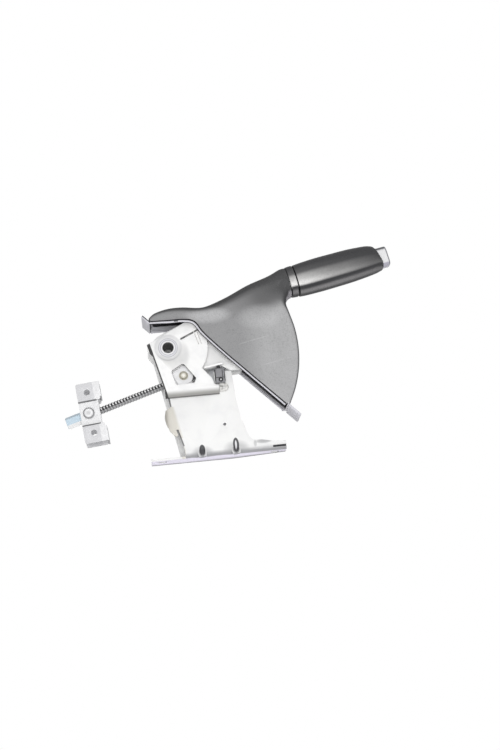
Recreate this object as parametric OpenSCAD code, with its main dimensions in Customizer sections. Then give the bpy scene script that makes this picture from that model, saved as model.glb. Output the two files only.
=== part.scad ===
// Parking brake lever: a pressed bracket with a ratchet plate, a two-cheek lever with a
// moulded shroud and grip, and a threaded pull rod with its cable equaliser.
// +X points towards the grip, +Z up, and the near side of the lever faces -Y.
// The origin lies on the mounting face, straight below the lever pivot.

/* [Pivot] */
// Height of the lever pivot above the mounting face
pivot_z = 121; // [117:0.5:126]
// Outer radius of the pivot tube
pivot_r = 7.7; // [7:0.1:8.2]
// Bore radius of the pivot tube
pivot_bore_r = 5.8; // [5:0.1:6.2]
// Radius of the flared ends of the pivot tube
flare_r = 10.6; // [9.5:0.1:12]
// Thickness of the flared ends
flare_t = 1.2; // [0.8:0.1:2]

/* [Bracket] */
// Sheet thickness of the mounting bracket
sheet = 2.5; // [2:0.1:3]
// Outer face of the bracket wall, measured from the lever's centre plane
wall_y = 13.5; // [13:0.1:14.5]
// Outer radius of the bend between wall and base
bend_r = 8; // [6:0.5:9]
// Reach of the base behind the pivot
base_rear = 29; // [26:1:36]
// Reach of the base in front of the pivot
base_front = 117; // [113:1:125]
// Depth of the base behind the centre plane
base_depth = 21; // [20:0.5:28]
// Depth of the front foot behind the centre plane
foot_depth = 7.5; // [7.2:0.1:12]
// Where the base starts to taper towards the front foot
taper_x = 62; // [60:1:75]
// Rear end of the bracket wall at the base
heel_x = 8; // [6:0.5:10]
// Front end of the bracket wall at the base
toe_x = 80; // [76:1:86]
// Height of the low rear part of the wall
wall_low = 72; // [70:0.5:73]
// Height of the front part of the wall, which carries the switch
wall_high = 91; // [88:0.5:93]
// Front edge of the wall at its top
wall_front = 66; // [64:0.5:70]
// Height of the lip along the front foot
lip_h = 13; // [11:0.5:16]
// Radius of the mounting bolt holes
bolt_r = 4.5; // [3.5:0.1:5]
// Position of the rear bolt hole along the base
bolt_rear_x = -17; // [-19:0.5:-14]
// Distance between the bolt holes
bolt_span = 122; // [118:1:124]
// Sideways position of the bolt holes
bolt_y = 1.5; // [1:0.1:2.5]
// Radius of the stiffening darts pressed into the bend
dart_r = 3.4; // [2.5:0.1:4]
// Radius of the curled tab on the wall's rear edge
tab_r = 7.5; // [6:0.5:8.5]

/* [Side plates] */
// Outer face of the side plates, measured from the centre plane
side_y = 19; // [18.5:0.1:19.5]
// Thickness of the side plates
side_t = 2; // [1.6:0.1:2.4]
// Radius of the side plates' front edge about the pivot
side_r = 43; // [41:0.5:43.5]
// Height at which the near plate's lower edge starts to roll in
roll_z = 74.5; // [73:0.5:76]
// Angle that the lower edge rolls through
roll_angle = 52; // [45:1:56]
// Front end of the rolled edge
roll_front = 51; // [48:0.5:52]
// Height of the raised boss round the pivot
boss_t = 0.9; // [0.6:0.1:1.2]
// Radius of the raised boss
boss_r = 14.5; // [13:0.1:16]

/* [Ratchet] */
// Radius of the ratchet teeth's tips about the pivot
tooth_r = 64; // [62:0.5:66]
// Depth of the teeth
tooth_depth = 3.2; // [2.5:0.1:3.6]
// Angle from one tooth to the next
tooth_pitch = 3; // [2.5:0.1:3.6]
// Number of teeth
tooth_count = 12; // [10:1:13]
// Thickness of the ratchet plate and the pawl
ratchet_t = 4; // [3:0.2:5]
// Inner radius of the ratchet arc
arc_r = 49; // [48:0.5:51]

/* [Lever] */
// Outer face of the lever cheeks, measured from the centre plane
cheek_y = 10; // [9.8:0.1:10.3]
// Thickness of the lever cheeks
cheek_t = 2; // [1.6:0.1:2.2]
// Outer radius of the hub sleeve between the cheeks
hub_r = 11; // [10.5:0.1:13]
// Wall of the bush inside the hub sleeve
bush_t = 1.2; // [1:0.1:1.5]
// Radius of the cheeks round the hub
cheek_hub_r = 19; // [17:0.5:21]
// Distance from the pivot to the clevis pin
clevis_r = 33.7; // [32:0.1:35]
// Direction from the pivot to the clevis pin
clevis_angle = -65.5; // [-68:0.5:-63]
// Radius of the clevis pin
clevis_pin_r = 5; // [4:0.1:5.5]
// Side of the square keeper plate on the clevis pin
keeper = 20; // [17:0.5:21]
// Thickness of the keeper plate
keeper_t = 2.4; // [2:0.1:3]
// Turn of the keeper plate against the base
keeper_angle = 29.5; // [26:0.5:34]
// Radius of the spacers that tie the cheeks together
spacer_r = 4.5; // [3.5:0.1:5]
// Reach of the tab that works the warning switch
tab_reach = 10; // [9:0.5:10.5]

/* [Pawl] */
// Pawl pin, in front of the pivot
pawl_x = 88; // [86:0.5:90]
// Pawl pin, above the pivot
pawl_z = 22; // [20:0.5:23]
// Radius of the pawl pin
pawl_pin_r = 3.5; // [3:0.1:4]
// Length of the pawl's upper arm
pawl_arm = 37; // [36:0.5:37.5]
// Radius of the pawl's nose and of its arm's end
pawl_tip_r = 3; // [2.6:0.1:3.2]

/* [Grip] */
// Start of the grip axis in front of the pivot
grip_x = 140; // [138:0.5:143]
// Start of the grip axis above the pivot
grip_rise = 67.6; // [67:0.1:69]
// Angle of the grip axis against the base
grip_angle = 10.4; // [9.5:0.1:11]
// Length from the collar to the end of the grip
grip_l = 110; // [104:1:118]
// Half height of the grip at its middle
grip_h = 20; // [18:0.2:22]
// Half width of the grip at its middle
grip_w = 16; // [14.5:0.2:18]
// Length of the collar ring
collar_l = 8; // [6:0.5:10]
// Half height of the collar ring
collar_h = 16.8; // [15.5:0.1:18]
// Width of the groove on each side of the collar ring
groove = 0.8; // [0.5:0.1:1.2]
// Outer radius of the lever tube
tube_r = 8; // [7.8:0.1:8]
// Bore radius of the lever tube
tube_bore_r = 6.8; // [6.4:0.1:7]

/* [Release button] */
// Height of the button
button_h = 22.6; // [20:0.2:24]
// Width of the button
button_w = 16; // [14:0.2:18]
// Reach of the button beyond the grip
button_out = 10.5; // [9:0.5:12]
// Travel of the button
button_travel = 8; // [6:0.5:8]
// Corner radius of the button
button_corner = 4; // [2.5:0.1:6]
// Radius of the release rod
release_r = 2.2; // [1.8:0.1:2.3]
// Drop of the release rod below the grip axis
release_drop = 2; // [1.5:0.1:2.2]
// Wire radius of the release spring
wire_r = 0.6; // [0.4:0.05:0.7]
// Turns of the release spring
spring_turns = 9; // [6:1:11]

/* [Shroud] */
// Wall of the shroud
shroud_t = 2.5; // [2:0.1:2.8]
// Half width of the shroud at its lower edge
shroud_w = 23; // [22.6:0.1:25]
// Length of the upturned lip at the rear
lip_rear = 10; // [7:0.5:13]
// Length of the lip at the lower front corner
lip_front = 15; // [10:0.5:17]

/* [Pull rod] */
// Angle of the pull rod against the base
rod_angle = 16.7; // [14:0.1:19]
// Radius of the threaded rod
rod_r = 4; // [3:0.1:4.5]
// Radius of the eye on the clevis pin
eye_r = 10; // [8.5:0.1:10.5]
// Distance from the clevis pin to the trunnion
rod_l = 109.5; // [100:0.5:118]
// Radius of the trunnion barrel
barrel_r = 7.5; // [6.5:0.1:8]
// Length of the adjusting nut
nut_l = 18.5; // [14:0.5:22]
// Size of the adjusting nut across its flats
nut_af = 13; // [11:0.5:13.5]

/* [Equaliser] */
// Half length of the equaliser
eq_l = 33; // [30:0.5:36]
// Half length of its recessed middle
eq_mid = 13; // [12:0.5:14]
// Reach of the equaliser on the cable side
eq_back = 9.2; // [8.6:0.1:11]
// Reach of the equaliser on the lever side
eq_fold = 17; // [15.5:0.5:19]
// Sheet thickness of the equaliser
eq_t = 2; // [1.6:0.1:2.4]
// Gap between the two leaves at the middle
eq_gap = 17; // [16.2:0.2:18]
// Step from the middle out to each wing
eq_step = 2.2; // [1.5:0.1:3]
// Tilt of the equaliser against the vertical
eq_tilt = 5.7; // [2:0.1:9]
// Distance from the trunnion to each cable pin hole
cable_hole_at = 22.3; // [20:0.1:24]
// Radius of the cable pin holes
cable_hole_r = 3.25; // [2.5:0.05:3.5]

/* [Warning switch] */
// Width of the switch body
switch_w = 10.8; // [9:0.2:12]
// Height of the switch body
switch_h = 14.4; // [12:0.2:16]
// Depth of the switch body
switch_d = 7.2; // [6:0.2:7.6]
// Rear edge of the switch body in front of the pivot
switch_x = 47.6; // [47.2:0.1:48.4]
// Radius of the switch plunger
plunger_r = 2; // [1.5:0.1:2.4]
// Travel of the switch plunger
plunger_travel = 3; // [2:0.5:4]

/* [Hidden] */
$fn = 64;
// Clearances: running fit on the radius, gap between moving faces, overshoot of a cut
run = 0.05;
gap = 0.3;
cut = 1;

function polar(c, r, a) = c + r * [cos(a), sin(a)];
function at_line(p, q, z) = p.x + (q.x - p.x) * (z - p.y) / (q.y - p.y);

pivot = [0, pivot_z];
clevis = polar(pivot, clevis_r, clevis_angle);
grip_root = [grip_x, pivot_z + grip_rise];
pawl_at = pivot + [pawl_x, pawl_z];
side_in = side_y - side_t;
cheek_in = cheek_y - cheek_t;
wall_in = wall_y - sheet;

// Side plate outline: top edge and rear corner, seen from the near side
plate_top_rear = pivot + [-22.5, 5.5];
plate_top_front = pivot + [16, 25];
plate_rear_low = pivot + [-22.5, -1.2];
plate_waist = pivot + [-17, -8.5];
plate_heel = [-7.6, roll_z];
// Access window over the clevis pin, and the relief slit beside the boss
window = [[-12.9, 4.7], [0.6, 12.3], [13.3, -5.4], [11, -10.4], [-9, -11]];
slit_from = pivot + [15, 9];
slit_to = pivot + [side_r, 21.5];
slit_r = 0.9;

// Tab of the near cheek above the switch plunger
tab_from = pivot + [37, -26.4];
tab_to = pivot + [57, -23.4];
tab_t = 2;
plunger_x = switch_x + 0.42 * switch_w;
plunger_y = -wall_y - switch_d / 2;
tab_under = tab_from.y + (tab_to.y - tab_from.y) * (plunger_x - tab_from.x) / (tab_to.x - tab_from.x);
switch_top = wall_high + 1;
plunger_top = tab_under - gap;

// Stations along the grip axis
tube_start = -26;
tube_end = grip_l - 20;
stem_l = 16;
head_start = tube_end + button_travel + 1;
stem_start = tube_end - stem_l;
seat_end = stem_start - 30;
collar_end = groove + collar_l;
pawl_arm_end = polar(pawl_at, pawl_arm, 71);
// Where the release rod ends, a gap in front of the pawl's arm
rod_end = (pawl_arm_end.x + (pawl_tip_r + gap) - grip_root.x) / cos(grip_angle)
  - release_drop * tan(grip_angle);

// Stations along the pull rod, measured from the clevis pin
neck_l = 24;
neck_r = rod_r + 2.5;
rod_start = 13;
nut_start = rod_l + barrel_r + 0.1;
rod_end_s = nut_start + nut_l - 1.5;
trunnion_at = clevis - rod_l * [cos(rod_angle), sin(rod_angle)];

// Half thickness of the equaliser over its wings
wing_y = eq_gap / 2 + eq_t + eq_step;
cheek_spacer_at = [pivot + [82, -10], pivot + [106, 42], pivot + [18, 10]];

steel = "#d5d6d8";
zinc = "#c9ced4";
bright = "#e2e3e4";
plastic = "#57585b";
soft = "#333437";

// Extrude a profile drawn in X and Z from y0 to y0 + t
module plate(y0, t) {
  translate([0, y0 + t, 0]) rotate([90, 0, 0]) linear_extrude(t) children();
}

// Round pin along Y at a point in X and Z
module pin(at, r, y0, y1) {
  translate([at.x, y1, at.y]) rotate([90, 0, 0]) cylinder(h = y1 - y0, r = r);
}

// Cone along Y, r0 at y0 and r1 at y1
module taper(at, r0, r1, y0, y1) {
  translate([at.x, y0, at.y]) rotate([-90, 0, 0]) cylinder(h = y1 - y0, r1 = r0, r2 = r1);
}

// Two rounds joined by their outer tangents, as one outline
module bar(p1, r1, p2, r2) {
  d = norm(p2 - p1);
  a = atan2(p2.y - p1.y, p2.x - p1.x);
  b = acos((r1 - r2) / d);
  k = 18;
  polygon(concat(
    [for (i = [0:k]) polar(p1, r1, a + b + (360 - 2 * b) * i / k)],
    [for (i = [0:k]) polar(p2, r2, a - b + 2 * b * i / k)]
  ));
}

module disc(at, r) {
  translate(at) circle(r);
}

// Rectangle with round corners, centred
module rounded(w, h, r) {
  square([w - 2 * r, h], center = true);
  square([w, h - 2 * r], center = true);
  for (x = [-1, 1], y = [-1, 1]) translate([x * (w / 2 - r), y * (h / 2 - r)]) circle(r);
}

// Local frames: X along the grip axis, X along the pull rod away from the clevis pin,
// and the equaliser with X across it and Z along it
module on_grip() {
  translate([grip_root.x, 0, grip_root.y]) rotate([0, -grip_angle, 0]) children();
}
module on_rod() {
  translate([clevis.x, 0, clevis.y]) rotate([0, 180 - rod_angle, 0]) children();
}
module on_equaliser() {
  translate([trunnion_at.x, 0, trunnion_at.y]) rotate([0, -eq_tilt, 0]) children();
}

// Cylinder along local X
module along(r, x0, x1) {
  translate([x0, 0, 0]) rotate([0, 90, 0]) cylinder(h = x1 - x0, r = r);
}

function quad(a, b, c, d) = [[a, b, c], [a, c, d]];

// Solid skin over rings of equal count, closed at both ends
module loft(rings) {
  n = len(rings);
  m = len(rings[0]);
  polyhedron(
    [for (ring = rings) each ring],
    concat(
      [for (i = [0:n - 2], j = [0:m - 1])
        each quad(i * m + j, (i + 1) * m + j, (i + 1) * m + (j + 1) % m, i * m + (j + 1) % m)],
      [[for (j = [0:m - 1]) j]],
      [[for (j = [m - 1:-1:0]) (n - 1) * m + j]]
    ),
    convexity = 8
  );
}

// Catmull-Rom curve through rows of numbers
function blend(a, b, c, d, t) =
  0.5 * (2 * b + (c - a) * t + (2 * a - 5 * b + 4 * c - d) * t * t
    + (3 * b - a - 3 * c + d) * t * t * t);
function curve(rows, k) = concat(
  [for (i = [0:len(rows) - 2], j = [0:k - 1])
    blend(rows[max(i - 1, 0)], rows[i], rows[i + 1], rows[min(i + 2, len(rows) - 1)], j / k)],
  [rows[len(rows) - 1]]
);

// Bracket wall above the bend, with the low lip along the front foot
module wall_outline() {
  polygon([
    [heel_x, bend_r], [heel_x - 1.6, 14], [1.5, 32.4], [-3.3, 56.3], [-5, 66], [-5, wall_low],
    [switch_x - 5, wall_low], [switch_x - 1, wall_low + 4], [switch_x - 1, wall_high], [wall_front, wall_high],
    [wall_front + 2.2, 58], [wall_front + 5, 38], [toe_x - 2, lip_h + 4], [toe_x + 2, lip_h],
    [toe_x + 10, lip_h - 0.5], [toe_x + 22, lip_h - 3], [base_front, bend_r + 0.8],
    [base_front, bend_r]
  ]);
}

// Plan of the base behind the bend, with the rear tongue
module base_plan() {
  polygon([
    [-base_rear, bend_r - wall_y - 3.5], [heel_x, bend_r - wall_y - 3.5], [heel_x, bend_r - wall_y],
    [base_front, bend_r - wall_y], [base_front, foot_depth], [taper_x, base_depth],
    [-base_rear, base_depth]
  ]);
}

// Quarter bend along X: the wall's foot turning away from the near side
module base_bend() {
  translate([heel_x, bend_r - wall_y, bend_r]) rotate([0, 90, 0]) rotate([0, 0, -90])
    rotate_extrude(angle = 90) translate([bend_r - sheet, 0]) square([sheet, base_front - heel_x]);
}

// Curled tab on the rear edge of the wall, cut to its outline
module rear_tab() {
  tab_x = -10.3 + tab_r;
  low = 23;
  high = 56.3;
  intersection() {
    union() {
      translate([tab_x, tab_r - wall_y, low]) rotate([0, 0, -180])
        rotate_extrude(angle = 90) translate([tab_r - sheet, 0]) square([sheet, high - low]);
      translate([tab_x, -wall_y, low]) cube([heel_x - tab_x, sheet, high - low]);
      translate([tab_x - tab_r, tab_r - wall_y, low]) cube([sheet, 4, high - low]);
    }
    plate(-wall_y - cut, tab_r + 8)
      polygon([[3, high], [-3.3, high], [-9, 53.5], [-10.4, 47], [-9.4, 40.5], [-5.8, 30],
        [-0.5, 23.8], [2, 25], [1.5, 32.4], [3, 32.4]]);
  }
}

// Stiffening dart across the bend: a groove outside and its bulge inside
module dart(x, r) {
  translate([x, bend_r - wall_y, bend_r]) rotate([-45, 0, 0])
    translate([0, 0, -bend_r]) rotate([90, 0, 0])
      cylinder(h = 5 * bend_r, r = r, center = true);
}
dart_at = [26, 62.5];

module mounting_bracket() {
  color(steel) difference() {
    union() {
      plate(-wall_y, sheet) wall_outline();
      base_bend();
      linear_extrude(sheet) base_plan();
      rear_tab();
      for (x = dart_at) intersection() {
        dart(x, dart_r + 1.6);
        translate([x - 2 * bend_r, -wall_y, 0]) cube([4 * bend_r, 2 * bend_r, 2 * bend_r]);
      }
    }
    for (x = dart_at) dart(x, dart_r);
    for (i = [0, 1]) translate([bolt_rear_x + i * bolt_span, bolt_y, -cut]) cylinder(h = sheet + 2 * cut, r = bolt_r);
    translate([base_front - 14, -wall_y - cut, sheet + 0.6]) cube([14 + cut, bend_r, 1.8]);
    pin([53, 32.5], 1.6, -wall_y - cut, -wall_in + cut);
  }
}

// Upper part shared by both side plates: the plate round the pivot
module side_top() {
  intersection() {
    disc(pivot, side_r);
    polygon([plate_top_rear, plate_top_front + 2 * (plate_top_front - plate_top_rear) / 3,
      pivot + [2 * side_r, 20], pivot + [2 * side_r, -27], [plate_heel.x, pivot.y - 27],
      plate_waist, plate_rear_low]);
  }
}

module near_side_plate() {
  roll_r = (wall_y - side_in) / (cos(roll_angle) - 1);
  color(steel) difference() {
    union() {
      plate(-side_y, side_t) {
        side_top();
        polygon([plate_waist, pivot + [35, -26], [switch_x - 3.4, roll_z + 9], [switch_x - 1.4, roll_z + 2.4],
          [roll_front, roll_z], plate_heel]);
      }
      translate([plate_heel.x, roll_r - side_in, roll_z]) rotate([0, 90, 0])
        rotate([0, 0, -90]) rotate_extrude(angle = roll_angle)
          translate([roll_r, 0]) square([side_t, roll_front - plate_heel.x]);
      taper(pivot, boss_r - 1.5, boss_r, -side_y - boss_t, -side_y);
    }
    pin(pivot, pivot_r, -side_y - boss_t - cut, -side_in + cut);
    plate(-side_y - cut, side_t + 2 * cut) {
      translate(clevis) offset(r = 2.5) offset(delta = -2.5) polygon(window);
      bar(slit_from, slit_r, slit_to, slit_r);
    }
  }
}

module far_side_plate() {
  foot_w = 10;
  color(steel) difference() {
    union() {
      plate(side_in, side_t) {
        side_top();
        polygon([plate_waist, pivot + [35, -26], [58, sheet], [4, sheet]]);
      }
      translate([6, side_in - foot_w, sheet]) cube([30, foot_w, side_t]);
      taper(pivot, boss_r, boss_r - 1.5, side_y, side_y + boss_t);
    }
    pin(pivot, pivot_r, side_in - cut, side_y + boss_t + cut);
    plate(side_in - cut, side_t + 2 * cut) translate([24, 42]) rounded(22, 34, 6);
  }
}

// Toothed arc about the pivot on a column that stands on the base
module ratchet_plate() {
  arc_low = -18;
  arc_high = tooth_count * tooth_pitch + 1.5;
  foot_x = 42;
  foot_l = 24;
  color(zinc) union() {
    plate(-ratchet_t / 2, ratchet_t) {
      difference() {
        intersection() {
          disc(pivot, tooth_r);
          polygon([pivot, polar(pivot, 2 * tooth_r, arc_low), polar(pivot, 2 * tooth_r, arc_high)]);
        }
        disc(pivot, arc_r);
        for (i = [0:tooth_count - 1]) {
          a = 1 + i * tooth_pitch;
          polygon([polar(pivot, tooth_r - tooth_depth, a), polar(pivot, tooth_r + cut, a - 0.1 * tooth_pitch),
            polar(pivot, tooth_r + cut, a + 0.75 * tooth_pitch)]);
        }
      }
      difference() {
        polygon([[foot_x, sheet], [foot_x + foot_l, sheet], polar(pivot, tooth_r, arc_low),
          polar(pivot, arc_r, 0), polar(pivot, arc_r, -42)]);
        disc(pivot, arc_r);
      }
    }
    translate([foot_x, ratchet_t / 2 - 0.01, sheet]) cube([foot_l, 10, 2]);
  }
}

// Hollow rivet that carries the lever, flared over both side plates
module pivot_tube() {
  y = side_y + boss_t;
  color(bright) difference() {
    union() {
      pin(pivot, pivot_r, -y, y);
      taper(pivot, flare_r - 1, flare_r, -y - flare_t, -y);
      taper(pivot, flare_r, flare_r - 1, y, y + flare_t);
    }
    pin(pivot, pivot_bore_r, -y - flare_t - cut, y + flare_t + cut);
  }
}

module pivot_spacers() {
  color("#404246") for (s = [-1, 1]) difference() {
    pin(pivot, pivot_r + 4, min(s * (cheek_y + gap), s * side_in), max(s * (cheek_y + gap), s * side_in));
    pin(pivot, pivot_r + run, -side_y, side_y);
  }
}

// Plunger switch seated on the wall's near face
module switch_body() {
  color("#4b4c50") difference() {
    union() {
      translate([switch_x, -wall_y - switch_d, switch_top - switch_h]) cube([switch_w, switch_d, switch_h]);
      translate([plunger_x - 3, plunger_y - 2.6, switch_top]) cube([6, 5.2, 1.2]);
    }
    translate([plunger_x, plunger_y, switch_top - 8]) cylinder(h = 10, r = plunger_r + run);
    pin([switch_x + switch_w / 2 + 0.6, switch_top - switch_h + 3], 2.1, -wall_y - switch_d - cut, -wall_y - switch_d + 2);
  }
}

module switch_plunger() {
  color("#2b2c2f") translate([plunger_x, plunger_y, switch_top - 7.5])
    cylinder(h = plunger_top - switch_top + 7.5, r = plunger_r);
}

module switch_clip() {
  clip_h = 9;
  z = switch_top - switch_h - clip_h - 0.1;
  color("#c4c2bd") difference() {
    union() {
      translate([roll_front + 0.6, -wall_y - sheet, z])
        cube([switch_x + switch_w - roll_front - 1, sheet, clip_h]);
      pin([switch_x + switch_w - 1.5, z + clip_h / 2], clip_h / 2, -wall_y - sheet, -wall_y);
    }
    pin([switch_x + switch_w - 1.5, z + clip_h / 2], 1.6, -wall_y - sheet - cut, -wall_y + cut);
  }
}

// Cheek of the lever: hub, clevis lobe and the tapering arm up to the tube
module cheek_outline() {
  arm_end = grip_root - 14 * [cos(grip_angle), sin(grip_angle)];
  difference() {
    union() {
      bar(pivot, cheek_hub_r, arm_end, tube_r + 1);
      bar(pivot, cheek_hub_r - 1, clevis, clevis_pin_r + 6.5);
      polygon([pivot + [0, -14], tab_from, tab_to, pivot + [66, -29], pivot + [78, -28.4],
        pivot + [112, 34], pivot + [100, 55], pivot]);
    }
    disc(pivot, hub_r);
    disc(clevis, clevis_pin_r);
    disc(pawl_at, pawl_pin_r);
    for (p = cheek_spacer_at) disc(p, spacer_r - 1.5);
    translate(pivot + [62, 16]) rotate(24) rounded(20, 9, 4);
  }
}

module near_lever_cheek() {
  color(steel) union() {
    plate(-cheek_y, cheek_t) cheek_outline();
    plate(-cheek_y - tab_reach, tab_reach + cheek_t)
      polygon([tab_from, tab_to, tab_to + [0, tab_t], tab_from + [0, tab_t]]);
  }
}

// The far cheek has a short stiffening flange along its lower edge
module far_lever_cheek() {
  flange_from = pivot + [66, -29];
  flange_to = pivot + [78, -28.4];
  color(steel) union() {
    plate(cheek_in, cheek_t) cheek_outline();
    plate(cheek_in, cheek_t + 4)
      polygon([flange_from, flange_to, flange_to + [0, tab_t], flange_from + [0, tab_t]]);
  }
}

module lever_hub() {
  color(zinc) difference() {
    pin(pivot, hub_r, -cheek_y, cheek_y);
    pin(pivot, pivot_r + run + bush_t, -cheek_y - cut, cheek_y + cut);
  }
}

module pivot_bush() {
  color("#8a7a4c") difference() {
    pin(pivot, pivot_r + run + bush_t, -cheek_y, cheek_y);
    pin(pivot, pivot_r + run, -cheek_y - cut, cheek_y + cut);
  }
}

// Shouldered spacers riveted between the cheeks
module cheek_spacers() {
  color(zinc) for (p = cheek_spacer_at) union() {
    pin(p, spacer_r, -cheek_in, cheek_in);
    pin(p, spacer_r - 1.5, -cheek_y - 1, cheek_y + 1);
  }
}

module clevis_pin() {
  end_y = cheek_y + keeper_t;
  color(bright) union() {
    pin(clevis, clevis_pin_r, -end_y, cheek_y);
    taper(clevis, clevis_pin_r - 1.8, clevis_pin_r - 0.4, -end_y - 2.4, -end_y);
    taper(clevis, clevis_pin_r + 3, clevis_pin_r + 2, cheek_y, cheek_y + 2.5);
  }
}

module keeper_plate() {
  color(bright) plate(-cheek_y - keeper_t, keeper_t) difference() {
    translate(clevis) rotate(keeper_angle) rounded(keeper, keeper, 1.5);
    disc(clevis, clevis_pin_r);
  }
}

module pawl_pin() {
  color(zinc) union() {
    pin(pawl_at, pawl_pin_r, -cheek_y, cheek_y);
    for (s = [0, 1]) mirror([0, s, 0]) taper(pawl_at, pawl_pin_r + 1.5, pawl_pin_r + 0.7, cheek_y, cheek_y + 1.6);
  }
}

// Two-armed pawl: the nose rides on the ratchet, the upper arm meets the release rod
module pawl() {
  nose = pivot + [tooth_r + gap + 0.1 + pawl_tip_r, 0.5];
  hub = pawl_pin_r + 3;
  color(zinc) difference() {
    union() {
      plate(-ratchet_t / 2, ratchet_t) {
        bar(pawl_at, hub - 0.4, nose, pawl_tip_r);
        bar(pawl_at, hub - 0.8, pawl_arm_end, pawl_tip_r);
      }
      pin(pawl_at, hub, -cheek_in + gap / 2, cheek_in - gap / 2);
    }
    pin(pawl_at, pawl_pin_r + run, -cheek_y, cheek_y);
  }
}

module lever_tube() {
  color(zinc) on_grip() difference() {
    along(tube_r, tube_start, tube_end);
    along(tube_bore_r, tube_start - cut, tube_end + cut);
  }
}

// Plug in the tube that guides the release rod
module guide_plug(x0, x1) {
  difference() {
    along(tube_bore_r, x0, x1);
    translate([0, 0, -release_drop]) along(release_r + run, x0 - cut, x1 + cut);
  }
}

module rod_guide() {
  color("#c8c4b4") on_grip() guide_plug(tube_start, tube_start + 7);
}

module spring_seat() {
  color("#c8c4b4") on_grip() guide_plug(seat_end - 5, seat_end);
}

// Coil spring between the seat and the button's stem
module release_spring() {
  sides = 8;
  per_turn = 14;
  coil_r = tube_bore_r - wire_r - 0.4;
  length = stem_start - seat_end - 2 * wire_r;
  steps = spring_turns * per_turn;
  color(bright) on_grip() loft([
    for (i = [0:steps])
      let (a = 360 * i / per_turn, x = seat_end + wire_r + length * i / steps)
        [for (j = [sides - 1:-1:0])
          let (b = 360 * j / sides, r = coil_r + wire_r * cos(b))
            [x + wire_r * sin(b), r * cos(a), r * sin(a)]]
  ]);
}

module release_rod() {
  color(zinc) on_grip() translate([0, 0, -release_drop]) along(release_r, rod_end, stem_start);
}

// Button head with a domed face on a round stem
module release_button() {
  tip = grip_l + button_out;
  dome = 34;
  color(bright) on_grip() union() {
    intersection() {
      translate([head_start, 0, 0]) rotate([90, 0, 90]) linear_extrude(tip - head_start)
        rounded(button_w, button_h, button_corner);
      translate([tip - dome, 0, 0]) sphere(dome, $fn = 96);
    }
    along(tube_bore_r - run, stem_start, head_start + 2);
  }
}

// Oval section round the grip axis: full above, with a flat-arched belly below the crease
function oval(x, top, bottom, w, crease) = [
  for (i = [0:35])
    let (
      a = 360 * i / 36,
      up = sin(a) >= 0,
      power = up ? 2 / 2.3 : 2 / 3,
      y = w * sign(cos(a)) * pow(abs(cos(a)), power),
      z = (up ? top : bottom) * sign(sin(a)) * pow(abs(sin(a)), power),
      belly = -crease - (bottom - crease) * sqrt(max(0, 1 - pow(y / w, 2)))
    )
      [x, y, max(z, belly)]
];

// Shroud stations, each row: crown X, Z; lower edge X, Z; edge radius; half width.
// X and Z are measured from the pivot. The top runs from the rear to the neck's mouth, the front
// from under the mouth down the fan's arc, and the lower edge is straight in front of the arch.
fan_at = [9.5, -10];
fan_r = 132.5;
fan_from = 17;
fan_to = -29;
edge_from = [38.4, 14.7];
edge_to = [124.2, -75.8];
neck_h = collar_h - 0.4;
hub_of_side = [105, 44];
function on_edge(t) = edge_from + (edge_to - edge_from) * t;
function on_neck(s, t) = [grip_x, grip_rise] + s * [cos(grip_angle), sin(grip_angle)]
  + t * [-sin(grip_angle), cos(grip_angle)];
function row(crown, low, r, w) = [crown.x, crown.y, low.x, low.y, r, w];
function top_rows() = [
  row([-18, 34.8], [-18, 30], 3.4, 22.4), row([-11, 41.3], [-11, 29.9], 8, 22.3),
  row([4, 46], [4, 29.2], 11, 22), row([20, 46.6], [18, 29.1], 12, 21.8),
  row([38, 44.6], [29.3, 26.3], 12, 21.5), row([50, 47], on_edge(0), 13, 21),
  row([70, 55], on_edge(0.16), 14, 20.5), row([94, 66.8], on_edge(0.37), 14.5, 19.5),
  row([118, 75.8], on_edge(0.5), 15, 18.2), row(on_neck(-6, neck_h - 0.2), on_edge(0.6), 14.5, 17),
  row(on_neck(0, neck_h), on_edge(0.7), 14, neck_h + 0.3)
];
function front_rows() = concat(
  [
    row(on_neck(0, -neck_h), [0, 0], 14, neck_h + 0.3), row(on_neck(-3, -neck_h - 0.5), [0, 0], 12, 17),
    row([138.2, 49], [0, 0], 9, 17.8), row([135, 43.8], [0, 0], 7, 19.4), row([134.3, 38], [0, 0], 6, 20.8)
  ],
  [for (i = [0:6])
    let (t = i / 6)
      row(polar(fan_at, fan_r, fan_from + (fan_to - fan_from) * t), [0, 0], 5 - 2 * t, 22 + 0.6 * t)]
);
// Stations of the top that face the lower edge one to one, and points further along the edge
matched = 14;
edge_points = [0.5, 0.62, 0.74, 0.87, 0.97];
arch = 4;

// Arched section at one station, from the near shoulder over the crown to the far one
function section(crown, inward, r, w) =
  let (
    half = [for (i = [0:arch])
      let (a = 90 * i / arch, p = pivot + crown + inward * r * (1 - sin(a)))
        [p.x, w - r + r * cos(a), p.y]],
    top = pivot + crown
  )
    concat([for (h = half) [h.x, -h.y, h.z]], [[top.x, 0, top.y]], [for (i = [arch:-1:0]) half[i]]);

// Sections along a run of rows; way is the inward direction at its end on the mouth
function sections(rows, inset, mouth, way) =
  let (n = len(rows))
    [for (i = [0:n - 1])
      let (
        s = rows[i],
        next = rows[min(i + 1, n - 1)],
        last = rows[max(i - 1, 0)],
        path = [next[0] - last[0], next[1] - last[1]],
        inward = i == mouth ? way : [path.y, -path.x] / norm(path)
      )
        section([s[0], s[1]] + inward * inset, inward, max(s[4] - inset, 0.6), s[5] + shroud_w - 23 - inset)];

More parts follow.
